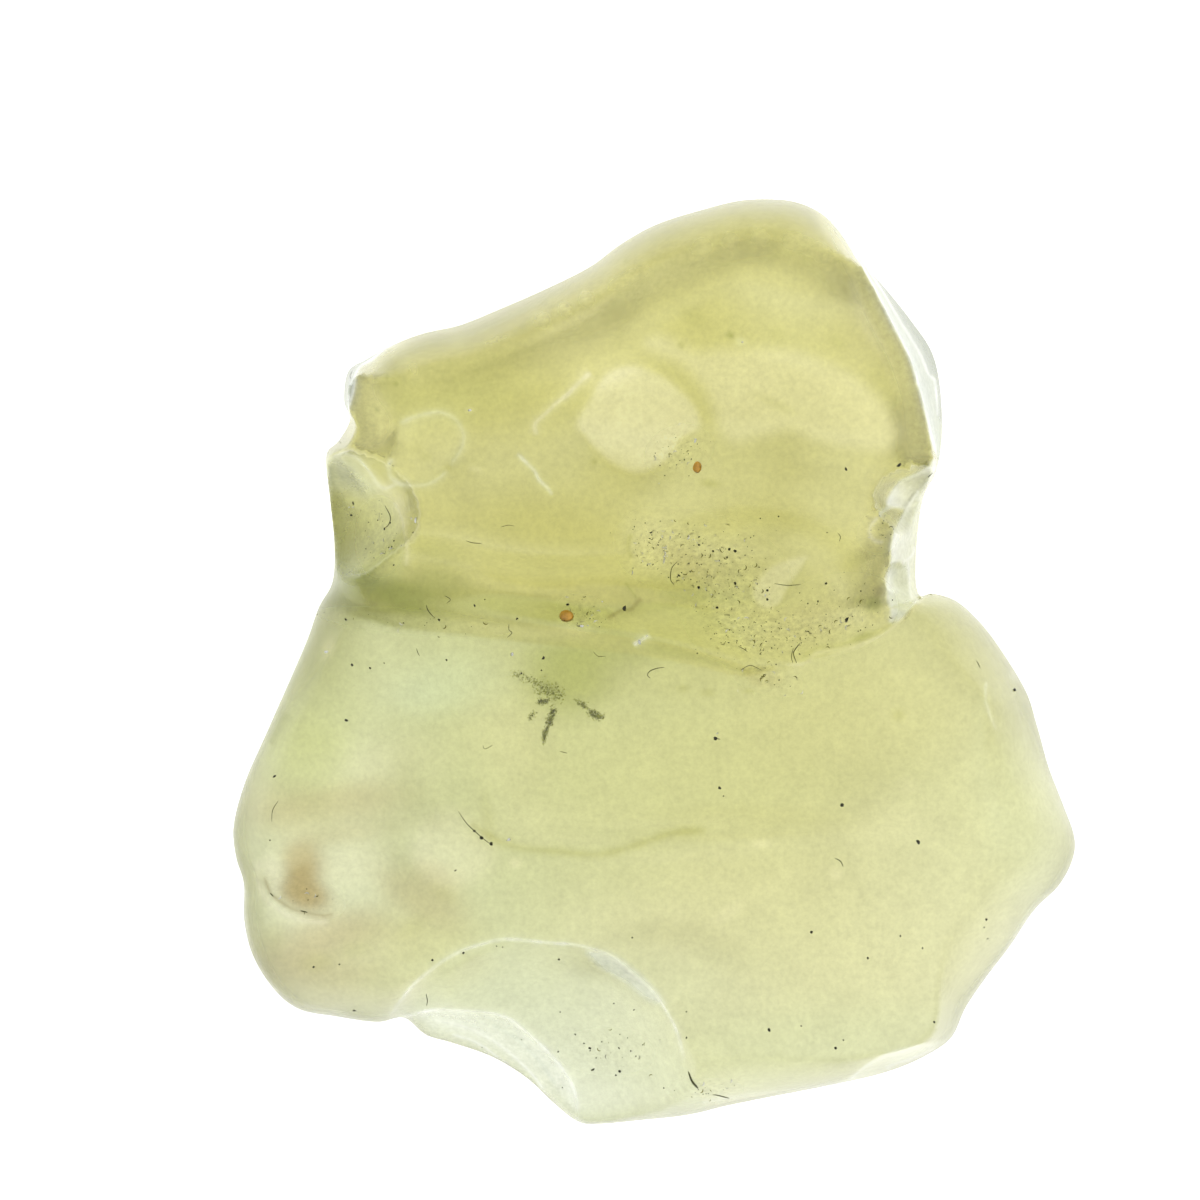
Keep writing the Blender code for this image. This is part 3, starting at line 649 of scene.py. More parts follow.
# Hair-like threads caught in the skin: half width, then points along the thread
THREADS = [
    (0.023, [(-9.3, 6.2), (-9, 6.1), (-8.5, 6.05)]),
    (0.014, [(-7.6, 6.85), (-7.2, 6.95), (-6.9, 6.9)]),
    (0.028, [(-13.4, 8), (-13.1, 7.4), (-13.2, 7), (-13.4, 6.85)]),
    (0.026, [(-11.3, 3.05), (-11.2, 2.75), (-10.9, 2.4)]),
    (0.017, [(-10.4, 3.5), (-10.1, 3.3), (-10.3, 3.1)]),
    (0.02, [(-7.2, 2.1), (-7.2, 1.8), (-7.05, 1.65), (-7.3, 1.4)]),
    (0.017, [(-11.8, 0.9), (-11.7, 0.6), (-11.6, 0.5)]),
    (0.014, [(-3.05, 0.75), (-2.8, 0.5), (-2.4, 0.5)]),
    (0.023, [(0.5, -0.05), (0.1, -0.1), (-0.25, -0.25), (-0.35, -0.45), (-0.2, -0.6)]),
    (0.02, [(4.1, 1), (4.4, 0.85), (4.6, 0.7)]),
    (0.028, [(7.2, 1.15), (6.95, 0.85), (6.85, 0.6), (7, 0.15)]),
    (0.02, [(6.85, 0.9), (6.75, 0.5), (6.8, 0.15)]),
    (0.023, [(1.15, 5.2), (0.85, 4.85), (0.8, 4.3), (1, 4)]),
    (0.02, [(5.9, 4.1), (6.6, 4), (7.3, 4.05)]),
    (0.017, [(4.2, -0.2), (4.7, 0.05), (5.3, -0.2)]),
    (0.02, [(9, 6.6), (9.15, 6.4), (9.1, 6.15)]),
    (0.024, [(-9.75, -7.2), (-9.35, -7.8), (-8.95, -8.2), (-8.5, -8.6), (-8, -8.95)]),
    (0.023, [(8.9, -9.5), (9.2, -9.65), (9.35, -9.95)]),
    (0.02, [(-18.7, -6.7), (-19, -7.2), (-19.05, -7.8)]),
    (0.026, [(-11.4, -16.4), (-11.35, -16.8), (-11.4, -17.1)]),
    (0.07, [(1.7, -20.2), (1.9, -20.7), (2.2, -21.1)]),
    (0.04, [(2.9, -21.45), (3.2, -21.5), (3.8, -21.7)]),
    (0.023, [(3, -3.55), (3.25, -3.6)]),
    (0.026, [(15.9, 0.3), (16.1, -0.1)]),
    (0.017, [(-4.7, -4.2), (-4.3, -4.3)]),
    (0.016, [(-8.5, -3.9), (-8.4, -4.1), (-8, -3.9)]),
    (0.034, [(-19.2, -11.35), (-19, -11.55)]),
    (0.034, [(-17.7, -12.25), (-17.3, -12.35)]),
    (0.028, [(13.8, 9.6), (13.55, 9.35)]),
    (0.02, [(-15, 14.65), (-15.1, 14.4), (-15, 14.2)]),
]

# Smoky streaks sealed under the skin: spread, share of the dust, then points along the streak
STREAKS = [
    (0.45, 0.2, [(-5.7, -0.9), (-5.2, -1.2), (-4.6, -1.5)]),
    (0.2, 0.1, [(-5.8, -0.9), (-6.5, -0.5), (-7, -0.35)]),
    (0.16, 0.1, [(-5.7, -1.75), (-5.3, -1.75)]),
    (0.18, 0.22, [(-4.95, -2.1), (-5.1, -2.6), (-5.25, -2.95)]),
    (0.12, 0.14, [(-5.3, -3.1), (-5.4, -3.4), (-5.45, -3.75)]),
    (0.14, 0.08, [(-3.8, -1.7), (-3.3, -2.1)]),
    (0.2, 0.2, [(-3.2, -2.3), (-2.8, -2.5), (-2.6, -2.5)]),
    (0.14, 0.04, [(-5.9, -2.3), (-6.2, -2.6)]),
]

# Sand grains wedged in pits: middle, and half sizes
GRAINS = [((-4.35, 2.45), (0.36, 0.33, 0.32)), ((2.1, 9.8), (0.22, 0.29, 0.24))]

# How deep small things sit in the skin, as a share of their half size
GRAIN_SINK = 0.25
SPECK_SINK = 0.2
THREAD_SINK = 0.3

# The smoky dust: its least depth and how far it scatters below that, and its least size and the range above
DUST_DEPTH = 0.35
DUST_SCATTER = 0.5
DUST_SIZE = 0.018
DUST_SIZE_RANGE = 0.03

# The worn skin's uneven tone: coarse mottling, and fine grain that is stronger where the skin is pitted
MOTTLE = {"scale": 700, "detail": 4, "roughness": 0.7}
GRAIN = {"scale": 3600, "detail": 3, "roughness": 0.7}

# How much of the light passes where the glass is clear, and where it is worn quite white
CLEAR_GLASS = 0.97
WORN_GLASS = 0.25

# The floor stands clear of the stone by this
FLOOR_GAP = 0.02

# The camera stands over the middle of the picture and is set for the height of the rim
PICTURE_MIDDLE = (-2.7, 3.275)
PICTURE_HEIGHT = 7.0
SENSOR_WIDTH = 36.0


def count_setting(name, says, value):
    return bpy.props.IntProperty(name=name, description=says, default=value)


def number_setting(name, says, value):
    return bpy.props.FloatProperty(name=name, description=says, default=value)


def length_setting(name, says, value):
    """A length, with its default in millimetres."""
    return bpy.props.FloatProperty(name=name, description=says, default=value * MM, unit="LENGTH")


def colour_setting(name, says, value):
    return bpy.props.FloatVectorProperty(name=name, description=says, subtype="COLOR", default=value)


class StoneSettings(bpy.types.PropertyGroup):
    rim_steps: count_setting("Rim steps", "Points round the outline", 600)
    top_spacing: length_setting("Top spacing", "Distance between the top's points", 0.21)
    under_spacing: length_setting("Under spacing", "Distance between the underside's points", 0.5)
    body_colour: colour_setting("Body colour", "What the glass lets through", (0.80, 0.79, 0.28))
    body_density: number_setting("Body density", "Absorption per metre", 80.0)
    ior: number_setting("IOR", "Index of refraction of silica glass", 1.46)


class BitSettings(bpy.types.PropertyGroup):
    seed: count_setting("Seed", "Start of all that is random", 7)
    pit_density: number_setting("Pit density", "Most crumbs on a square millimetre of pitted skin", 15.0)
    arc_density: number_setting("Arc density", "Most pit rims on a square millimetre of pitted skin", 2.4)
    dust_count: count_setting("Dust", "Crumbs in all the smoky streaks", 1300)
    speck_colour: colour_setting("Speck colour", "Colour of the dark specks", (0.018, 0.019, 0.007))
    thread_colour: colour_setting("Thread colour", "Colour of the threads", (0.050, 0.052, 0.010))
    dust_colour: colour_setting("Dust colour", "Colour of the smoky streaks", (0.52, 0.54, 0.11))
    sand_colour: colour_setting("Sand colour", "Colour of the sand grains", (0.66, 0.35, 0.04))


class StageSettings(bpy.types.PropertyGroup):
    floor_glow: number_setting("Floor glow", "Light that the pale floor gives", 0.8)
    sky_strength: number_setting("Surround", "Strength of the white surround", 1.0)
    field_width: length_setting("Field width", "Width that the picture covers", 60)
    lens: number_setting("Lens", "Focal length in millimetres", 250.0)


def smooth_curve(points, samples, closed=False):
    """A smooth curve through the points, with a number of samples between each two."""
    knots = np.array(points, float)
    if closed:
        before, after, beyond = (np.roll(knots, step, axis=0) for step in (1, -1, -2))
    else:
        longer = np.vstack([2 * knots[0] - knots[1], knots, 2 * knots[-1] - knots[-2]])
        before, knots, after, beyond = longer[:-3], longer[1:-2], longer[2:-1], longer[3:]
    t = (np.arange(samples) / samples)[None, :, None]
    ends = knots[:, None] * (2 * t**3 - 3 * t**2 + 1) + after[:, None] * (3 * t**2 - 2 * t**3)
    leave = (after - before)[:, None] / 2 * (t**3 - 2 * t**2 + t)
    arrive = (beyond - knots)[:, None] / 2 * (t**3 - t**2)
    curve = (ends + leave + arrive).reshape(-1, 2)
    return curve if closed else np.vstack([curve, after[-1]])


def even_steps(curve, count, closed=False):
    """Points at equal steps of length along a curve."""
    route = np.vstack([curve, curve[:1]]) if closed else curve
    length = np.concatenate([[0], np.cumsum(np.linalg.norm(np.diff(route, axis=0), axis=1))])
    stops = np.linspace(0, length[-1], count, endpoint=not closed)
    return np.stack([np.interp(stops, length, route[:, axis]) for axis in (0, 1)], axis=1)


EDGE_CURVE = smooth_curve(OUTLINE, OUTLINE_SAMPLES, closed=True)


def bearing(x, y):
    return np.degrees(np.arctan2(y - FAN[1], x - FAN[0])) % 360


def rim_inset(x, y):
    """Distance from the outline to the point, along the line from the fan's middle."""
    angles = bearing(EDGE_CURVE[:, 0], EDGE_CURVE[:, 1])
    radii = np.hypot(EDGE_CURVE[:, 0] - FAN[0], EDGE_CURVE[:, 1] - FAN[1])
    order = np.argsort(angles)
    reach = np.interp(bearing(x, y), angles[order], radii[order], period=360)
    return reach - np.hypot(x - FAN[0], y - FAN[1])


def rim_values(x, y):
    """Height, top width, roundness and under width of the rim at the point's bearing."""
    table = np.array(RIM, float)
    return [np.interp(bearing(x, y), table[:, 0], table[:, k], period=360) for k in (1, 2, 3, 4)]


def turned(x, y, middle, halves, turn):
    """Each point in half lengths from the middle, along axes turned by degrees."""
    c, s = math.cos(math.radians(turn)), math.sin(math.radians(turn))
    across, along = x - middle[0], y - middle[1]
    return (across * c + along * s) / halves[0], (along * c - across * s) / halves[1]


def spot(x, y, middle, halves, turn):
    """A soft oval spot: 1 in its middle, 0 well outside it."""
    u, v = turned(x, y, middle, halves, turn)
    return np.exp(-((u * u + v * v) ** 1.5))


def forms(x, y, table):
    """The sum of soft spots: hollows and swells, or how pitted the skin is."""
    return sum(height * spot(x, y, middle, halves, turn) for middle, halves, turn, height in table)


def smooth(u):
    u = np.clip(u, 0, 1)
    return u * u * (3 - 2 * u)


def shoulder(inset, width, roundness):
    """Rises from 0 at the rim to 1 at the shoulder's width: a flat chip at roundness 1."""
    u = np.clip(inset / width, 0, 1)
    return (1 - (1 - u) ** roundness) ** (1 / roundness)


def lower_of(a, b, blend):
    """The lower of two surfaces, worn round where they cross."""
    near = np.maximum(blend - np.abs(a - b), 0) / blend
    return np.minimum(a, b) - near * near * blend / 4


def scar_floor(x, y, scar, side):
    """Height of the scoop's far side, or a height out of the way where the scoop doesn't reach."""
    middle, radii, turn = scar
    u, v = turned(x, y, middle, radii, turn)
    inside = np.clip(1 - u * u - v * v, 0, None)
    height = middle[2] - side * radii[2] * np.sqrt(inside)
    return np.where(inside > 0, height, side * 100.0)


def in_box(x, y, curve, margin):
    """Whether each point lies in the box round the curve, with a margin."""
    low, high = curve.min(axis=0) - margin, curve.max(axis=0) + margin
    return (x > low[0]) & (x < high[0]) & (y > low[1]) & (y < high[1])


def off_curve(x, y, curve, margin):
    """Distance to a curve of short steps, at most the margin, and how far along it the nearest place is."""
    start, step = curve[:-1], np.diff(curve, axis=0)
    distance, share = np.full(len(x), margin), np.zeros(len(x))
    near = np.flatnonzero(in_box(x, y, curve, margin))
    across, along = x[near, None] - start[:, 0], y[near, None] - start[:, 1]
    t = np.clip((across * step[:, 0] + along * step[:, 1]) / (step**2).sum(axis=1), 0, 1)
    gaps = np.hypot(across - t * step[:, 0], along - t * step[:, 1])
    best = gaps.argmin(axis=1)
    rows = np.arange(len(near))
    distance[near] = np.minimum(gaps[rows, best], margin)
    share[near] = (best + t[rows, best]) / len(step)
    return distance, share


def is_inside(x, y, loop):
    """Whether each point lies inside a loop: a line to its right then crosses it an odd number of times."""
    after = np.roll(loop, -1, axis=0)
    rise = np.where(after[:, 1] == loop[:, 1], 1e-9, after[:, 1] - loop[:, 1])
    spans = (loop[:, 1] > y[:, None]) != (after[:, 1] > y[:, None])
    crossing = loop[:, 0] + (y[:, None] - loop[:, 1]) * (after[:, 0] - loop[:, 0]) / rise
    return (spans & (x[:, None] < crossing)).sum(axis=1) % 2 == 1


def patch_mask(x, y, patch):
    """1 inside the patch and 0 outside it, with a soft edge."""
    loop = smooth_curve(patch.outline, EDGE_SAMPLES, closed=True)
    distance, _ = off_curve(x, y, np.vstack([loop, loop[:1]]), patch.soft)
    inside = np.zeros(len(x), bool)
    near = in_box(x, y, loop, 0)
    inside[near] = is_inside(x[near], y[near], loop)
    return smooth(0.5 + np.where(inside, distance, -distance) / patch.soft / 2)


def line_masks(x, y, line):
    """The line itself, uneven and thinning out at its ends, and the fainter band beside it."""
    curve = smooth_curve(line.points, EDGE_SAMPLES)
    distance, share = off_curve(x, y, curve, 8 * line.width)
    ends = np.clip(np.minimum(share, 1 - share) * 12, 0, 1) ** 0.5
    length = np.linalg.norm(np.diff(curve, axis=0), axis=1).sum()
    uneven = 0.82 + 0.18 * np.sin(share * length * 2.3 + 5 * np.sin(share * length * 0.7))
    core = np.exp(-((distance / line.width) ** 2)) * ends * uneven
    return core, np.exp(-((distance / line.width / BAND_WIDTH) ** 2)) * ends


def blended(colour, mask, tint, strength):
    """Moves a field of colours towards a palette tint."""
    return colour + (np.array(PALETTE[tint]) - colour) * (mask * strength)[:, None]


def ramp(place, start, length):
    """Rises softly from 0 at the start to 1 a length before it."""
    return smooth((start - place) / length)


def depth_below_seam(x, y):
    seam = np.array(SEAM)
    return np.interp(x, seam[:, 0], seam[:, 1]) - y


def body_tint(x, y):
    """Tint of the body of the glass: olive above the seam, sage to sand below it, with its clouds and the
    painted shade along the waist.
    """
    below = smooth(depth_below_seam(x, y) + 0.5)
    colour = np.tile(np.array(PALETTE["sage"]), (len(x), 1))
    colour = blended(colour, smooth((x + 12) / 20), "sand", 0.6)
    colour = blended(colour, 1 - below, "olive", 1.0)
    for middle, halves, turn, tint, strength in CLOUDS:
        colour = blended(colour, spot(x, y, middle, halves, turn), tint, strength)
    return colour


# What each point of the skin has: height, tint with painted shade and highlights in it, how white it is worn
# (with painted highlights on pale edges), roughness, and how pitted
Skin = namedtuple("Skin", "height tint frost rough pitting")


def top_skin(x, y):
    inset = np.maximum(rim_inset(x, y), 0)
    rim, width, roundness, _ = rim_values(x, y)
    upper = BLUNT_END_HEIGHT - UPPER_FALL * ramp(y, *UPPER_RAMP) + forms(x, y, UPPER_FORMS)
    slope_down = ramp(y, *DOWNWARD_RAMP) * DOWNWARD_SHARE + ramp(x, *LEFTWARD_RAMP) * (1 - DOWNWARD_SHARE)
    lower = SHOULDER_HEIGHT + (TAIL_HEIGHT - SHOULDER_HEIGHT) * slope_down
    lower += forms(x, y, LOWER_FORMS)
    step_width = SEAM_STEP + SEAM_STEP_GROWTH * ramp(x, *SEAM_RAMP)
    level = upper + (lower - upper) * smooth(depth_below_seam(x, y) / step_width + 0.5)
    height = rim + (level - rim) * shoulder(inset, width, roundness)
    for scar in TOP_SCARS:
        height = lower_of(height, scar_floor(x, y, scar, 1), SCAR_BLEND)
    tint, frost = body_tint(x, y), RIM_HAZE * np.exp(-((inset / RIM_HAZE_WIDTH) ** 2))
    away_from_rim = smooth(inset / CLEAR_RIM)
    for patch in PATCHES.values():
        mask = patch_mask(x, y, patch)
        tint = blended(tint, mask, patch.tint, patch.strength)
        frost += mask * patch.frost
        height = height + mask * patch.rise * away_from_rim
    # Painted shade: the tint darkens towards the outermost rim
    tint *= 1 - np.exp(-((inset / RIM_PAINTED_SHADE_WIDTH) ** 2))[:, None] * np.array(RIM_PAINTED_SHADE)
    for middle, halves, turn, name, strength in SKIN_MARKS:
        tint = blended(tint, spot(x, y, middle, halves, turn), name, strength)
    # The lines paint highlights along pale edges, and shade along the crease, the waist foot, the seam and
    # the left rim
    for line in LINES.values():
        core, band = line_masks(x, y, line)
        tint = blended(tint, np.clip(core + BAND_SHARE * band, 0, 1), line.tint, line.strength)
        frost = np.maximum(frost, core * line.frost)
        height = height + core * line.rise * away_from_rim
    pitting = np.clip(forms(x, y, PITTING), 0, 1)
    return Skin(height, tint, np.clip(frost, 0, 1), 0.27 + 0.10 * pitting, pitting)


def under_skin(x, y):
    inset = np.maximum(rim_inset(x, y), 0)
    rim, _, _, width = rim_values(x, y)
    across, along = x - FLAT_SPOT[0], y - FLAT_SPOT[1]
    uneven = BELLY_WAVE * np.sin(3 * np.arctan2(along, across) + 0.8)
    out = np.hypot(across / 1.1, along / 0.95) + uneven
    rise = smooth((out - 1) / BELLY_REACH) - smooth((FLAT_SPOT_RADIUS - 1) / BELLY_REACH)
    level = BELLY_RISE * rise + forms(x, y, UNDER_FORMS)
    height = rim + (level - rim) * shoulder(inset, width, BELLY_ROUNDNESS)
    for scar in UNDER_SCARS:
        height = -lower_of(-height, -scar_floor(x, y, scar, -1), SCAR_BLEND)
    nothing = np.zeros(len(x))
    return Skin(np.maximum(height, 0.0), body_tint(x, y), nothing, nothing + 0.5, nothing)


def rim_rings(rim, insets):
    """Copies of the outline, each drawn in towards the fan's middle."""
    out = rim - np.array(FAN)
    reach = np.linalg.norm(out, axis=1)
    return [np.array(FAN) + out * (1 - inset / reach)[:, None] for inset in insets]


def even_field(spacing, from_rim):
    """Rows of an even triangle pattern over the stone, from a distance inside its rim."""
    low, high = EDGE_CURVE.min(axis=0), EDGE_CURVE.max(axis=0)
    rows = np.arange(low[1], high[1], spacing * math.sqrt(3) / 2)
    columns = np.arange(low[0], high[0], spacing)
    x = (columns[None] + (np.arange(len(rows)) % 2 * spacing / 2)[:, None]).ravel()
    y = np.repeat(rows, len(columns))
    keep = rim_inset(x, y) > from_rim
    return np.column_stack([x[keep], y[keep]])


def beside_lines(curves):
    """Points on each curve and beside it, so that its edge comes out crisp."""
    places = []
    for curve in curves:
        length = np.linalg.norm(np.diff(curve, axis=0), axis=1).sum()
        even = even_steps(curve, max(int(length / EDGE_STEP), 3))
        ahead = np.gradient(even, axis=0)
        aside = np.column_stack([-ahead[:, 1], ahead[:, 0]]) / np.linalg.norm(ahead, axis=1)[:, None]
        places += [even + aside * gap for gap in EDGE_GAPS]
    places = np.vstack(places)
    _, apart = np.unique(np.round(places / EDGE_GRID), axis=0, return_index=True)
    places = places[np.sort(apart)]
    return places[rim_inset(places[:, 0], places[:, 1]) > EDGE_INSET]


def clear_of(places, others, gap):
    """The places that keep a gap to all the others."""
    tree = KDTree(len(others))
    for index, (x, y) in enumerate(others.tolist()):
        tree.insert((x, y, 0), index)
    tree.balance()
    return places[[tree.find((x, y, 0))[2] > gap for x, y in places.tolist()]]


def triangulated(places, rim_count):
    """Triangles between the places, inside the loop that the first of them make."""
    loop = [(k, (k + 1) % rim_count) for k in range(rim_count)]
    found, _, faces, *_ = delaunay_2d_cdt([Vector(place) for place in places.tolist()], loop, [], 1, 1e-7)
    if len(found) != len(places):
        raise RuntimeError("two of the stone's points fall together")
    return np.array(faces)


def top_places(rim, spacing):
    """The top's points: the rim, rings inside it, close ones along its edges, and an even field."""
    edges = [line.points for line in LINES.values()]
    edges += [[*patch.outline, patch.outline[0]] for patch in PATCHES.values() if patch.soft < CRISP]
    fine = beside_lines([smooth_curve(edge, EDGE_SAMPLES) for edge in edges])
    rings = rim_rings(rim, TOP_RINGS)
    filler = clear_of(np.vstack([*rings, even_field(spacing, TOP_FIELD_INSET)]), fine, EDGE_CLEARANCE)
    return np.vstack([rim, fine, filler])


def under_places(rim, spacing):
    return np.vstack([rim, *rim_rings(rim, UNDER_RINGS), even_field(spacing, UNDER_FIELD_INSET)])


def placed(name, data):
    """An object in the scene for a mesh or a camera."""
    obj = bpy.data.objects.new(name, data)
    bpy.context.scene.collection.objects.link(obj)
    return obj


def mesh_object(name, points, faces):
    """A smooth mesh object from points in millimetres, with its faces outwards."""
    mesh = bpy.data.meshes.new(name)
    mesh.from_pydata((points * MM).tolist(), [], faces.tolist())
    bm = bmesh.new()
    bm.from_mesh(mesh)
    bmesh.ops.recalc_face_normals(bm, faces=bm.faces)
    bm.to_mesh(mesh)
    bm.free()
    mesh.shade_smooth()
    return placed(name, mesh)


def store(mesh, name, kind, values):
    """A named attribute with a value for each point."""
    layer = mesh.attributes.new(name, kind, "POINT")
    field = "color" if kind == "FLOAT_COLOR" else "value"
    layer.data.foreach_set(field, np.asarray(values, np.float32).ravel())


def feed(tree, socket, value):
    """Links another node's output to the socket, or sets it to a plain value."""
    if isinstance(value, bpy.types.NodeSocket):
        tree.links.new(value, socket)
    else:
        socket.default_value = value


def add_node(tree, kind, settings=None, **inputs):
    """Adds a node with its settings, and feeds its inputs by their names."""
    node = tree.nodes.new(kind)
    for name, value in (settings or {}).items():
        setattr(node, name, value)
    for name, value in inputs.items():
        feed(tree, node.inputs[name.replace("_", " ")], value)
    return node


def worked_out(tree, operation, *values):
    """The result of a math node on the values."""
    node = tree.nodes.new("ShaderNodeMath")
    node.operation = operation
    for socket, value in zip(node.inputs, values):
        feed(tree, socket, value)
    return node.outputs["Value"]


def scaled(tree, vector, scale):
    return add_node(
        tree, "ShaderNodeVectorMath", {"operation": "SCALE"}, Vector=vector, Scale=scale
    ).outputs["Vector"]


def bumped(tree, height, distance, strength):
    """The surface's direction with a fine relief on it."""
    return add_node(
        tree, "ShaderNodeBump", Height=height, Distance=distance, Strength=strength
    ).outputs["Normal"]


def spread(tree, value, low, high, start=0.3, end=0.7):
    """Maps a noise's usual range to a wanted one."""
    node = add_node(
        tree, "ShaderNodeMapRange", Value=value, From_Min=start, From_Max=end, To_Min=low, To_Max=high
    )
    return node.outputs["Result"]


def noise_on(tree, scale, detail, roughness=0.6):
    """Noise on the object's own coordinates, with features of about one metre over the scale."""
    place = tree.nodes.new("ShaderNodeTexCoord").outputs["Object"]
    made = add_node(tree, "ShaderNodeTexNoise", Vector=place, Scale=scale, Detail=detail, Roughness=roughness)
    return made.outputs["Fac"]


def attribute_of(tree, name, output):
    return add_node(tree, "ShaderNodeAttribute", {"attribute_name": name}).outputs[output]


def new_shader(name):
    material = bpy.data.materials.new(name)
    material.use_nodes = True
    return material, material.node_tree, material.node_tree.nodes["Principled BSDF"].inputs


def glass_material(settings):
    """Worn translucent glass: a mottled, finely pitted skin over a body that takes out blue light."""
    material, tree, shader = new_shader("desert_glass_worn")
    mottle = spread(tree, noise_on(tree, **MOTTLE), 0.92, 1.07)
    grain = spread(tree, noise_on(tree, **GRAIN), 0.85, 1.12)
    coarser = worked_out(tree, "MULTIPLY_ADD", attribute_of(tree, "pitting", "Fac"), 2.0, 1.0)
    grain = worked_out(tree, "POWER", grain, coarser)
    # The tint holds the glass's own colour, with painted shade and highlights in it
    tint = attribute_of(tree, "tint", "Color")
    feed(tree, shader["Base Color"], scaled(tree, tint, worked_out(tree, "MULTIPLY", mottle, grain)))
    clear = spread(tree, attribute_of(tree, "frost", "Fac"), CLEAR_GLASS, WORN_GLASS, 0.0, 1.0)
    feed(tree, shader["Transmission Weight"], clear)
    feed(tree, shader["Roughness"], attribute_of(tree, "rough", "Fac"))
    feed(tree, shader["Normal"], bumped(tree, noise_on(tree, 1000, 3, 0.6), 0.00008, 0.25))
    feed(tree, shader["IOR"], settings.ior)
    body = add_node(
        tree, "ShaderNodeVolumeAbsorption", Color=(*settings.body_colour, 1), Density=settings.body_density
    )
    feed(tree, tree.nodes["Material Output"].inputs["Volume"], body.outputs["Volume"])
    return material


def crumb_material(name, colour, roughness, clear=0.0):
    """Mineral crumbs: an uneven colour from crumb to crumb, part see-through if it is clear."""
    material, tree, shader = new_shader(name)
    patchy = spread(tree, noise_on(tree, 2200, 3), 0.0, 1.0)
    tone = add_node(tree, "ShaderNodeMix", {"data_type": "RGBA"}, Factor=patchy)
    colours = [socket for socket in tone.inputs if socket.type == "RGBA"]
    for socket, share in zip(colours, (0.55, 1.45)):
        feed(tree, socket, (*(min(share * value, 1.0) for value in colour), 1))
    feed(tree, shader["Base Color"], next(socket for socket in tone.outputs if socket.type == "RGBA"))
    fine = noise_on(tree, 6000, 2)
    feed(tree, shader["Roughness"], spread(tree, fine, 0.8 * roughness, min(1.3 * roughness, 1.0)))
    feed(tree, shader["Normal"], bumped(tree, fine, 0.00001, 0.4))
    feed(tree, shader["Transmission Weight"], clear)
    return material


def new_tree(name, **inputs):
    """A Geometry Nodes tree, with the outputs of its group input by name."""
    tree = bpy.data.node_groups.new(name, "GeometryNodeTree")
    for label, kind in {"Geometry": "Geometry", "Material": "Material", **inputs}.items():
        tree.interface.new_socket(label, in_out="INPUT", socket_type="NodeSocket" + kind)
    tree.interface.new_socket("Geometry", in_out="OUTPUT", socket_type="NodeSocketGeometry")
    return tree, tree.nodes.new("NodeGroupInput").outputs


def end_tree(tree, given, geometry):
    """Makes the tree's copies real and gives them its material."""
    real = add_node(tree, "GeometryNodeRealizeInstances", Geometry=geometry)
    painted = add_node(
        tree, "GeometryNodeSetMaterial", Geometry=real.outputs["Geometry"], Material=given["Material"]
    )
    add_node(tree, "NodeGroupOutput", Geometry=painted.outputs["Geometry"])
    return tree


def random_value(tree, given, salt, low, high):
    """A random number or vector for each point, from the tree's seed and a salt."""
    node = tree.nodes.new("FunctionNodeRandomValue")
    node.data_type = "FLOAT_VECTOR" if isinstance(low, tuple) else "FLOAT"
    least, most = [socket for socket in node.inputs if socket.enabled and socket.name in ("Min", "Max")]
    feed(tree, least, low)
    feed(tree, most, high)
    feed(tree, node.inputs["Seed"], worked_out(tree, "ADD", given["Seed"], salt))
    return next(socket for socket in node.outputs if socket.enabled)


def named_value(tree, name):
    node = add_node(tree, "GeometryNodeInputNamedAttribute", {"data_type": "FLOAT"}, Name=name)
    return node.outputs["Attribute"]


def strewn_points(tree, given):
    """Points strewn over the carrier's skin, closest where it is most pitted."""
    dense = worked_out(tree, "MULTIPLY", named_value(tree, "pitting"), given["Density"])
    strewn = add_node(
        tree, "GeometryNodeDistributePointsOnFaces", Mesh=given["Geometry"], Seed=given["Seed"], Density=dense
    )
    return strewn.outputs["Points"]


def crumbs_on(tree, given, points, size):
    """A lumpy crumb on each point, turned at random."""
    ball = add_node(tree, "GeometryNodeMeshIcoSphere", Radius=1.0, Subdivisions=1)
    lumps = random_value(tree, given, 11, (-0.22,) * 3, (0.22,) * 3)
    lumpy = add_node(tree, "GeometryNodeSetPosition", Geometry=ball.outputs["Mesh"], Offset=lumps)
    shape = random_value(tree, given, 13, (0.75, 0.6, 0.5), (1.5, 1.0, 0.9))
    copies = add_node(
        tree, "GeometryNodeInstanceOnPoints", Points=points, Instance=lumpy.outputs["Geometry"],
        Rotation=random_value(tree, given, 12, (0.0,) * 3, (math.tau,) * 3), Scale=scaled(tree, shape, size),
    )
    return copies.outputs["Instances"]


def speck_tree():
    """A crumb on each point of the carrier, as large as the point says."""
    tree, given = new_tree("specks", Seed="Int")
    return end_tree(tree, given, crumbs_on(tree, given, given["Geometry"], named_value(tree, "size")))


def pit_tree():
    """Fine crumbs strewn over the carrier's pitted skin, few of them large."""
    tree, given = new_tree("pit_crumbs", Seed="Int", Density="Float", Least="Float", Most="Float")
    few_large = worked_out(tree, "POWER", random_value(tree, given, 3, 0.0, 1.0), 3.0)
    size = spread(tree, few_large, given["Least"], given["Most"], 0.0, 1.0)
    return end_tree(tree, given, crumbs_on(tree, given, strewn_points(tree, given), size))


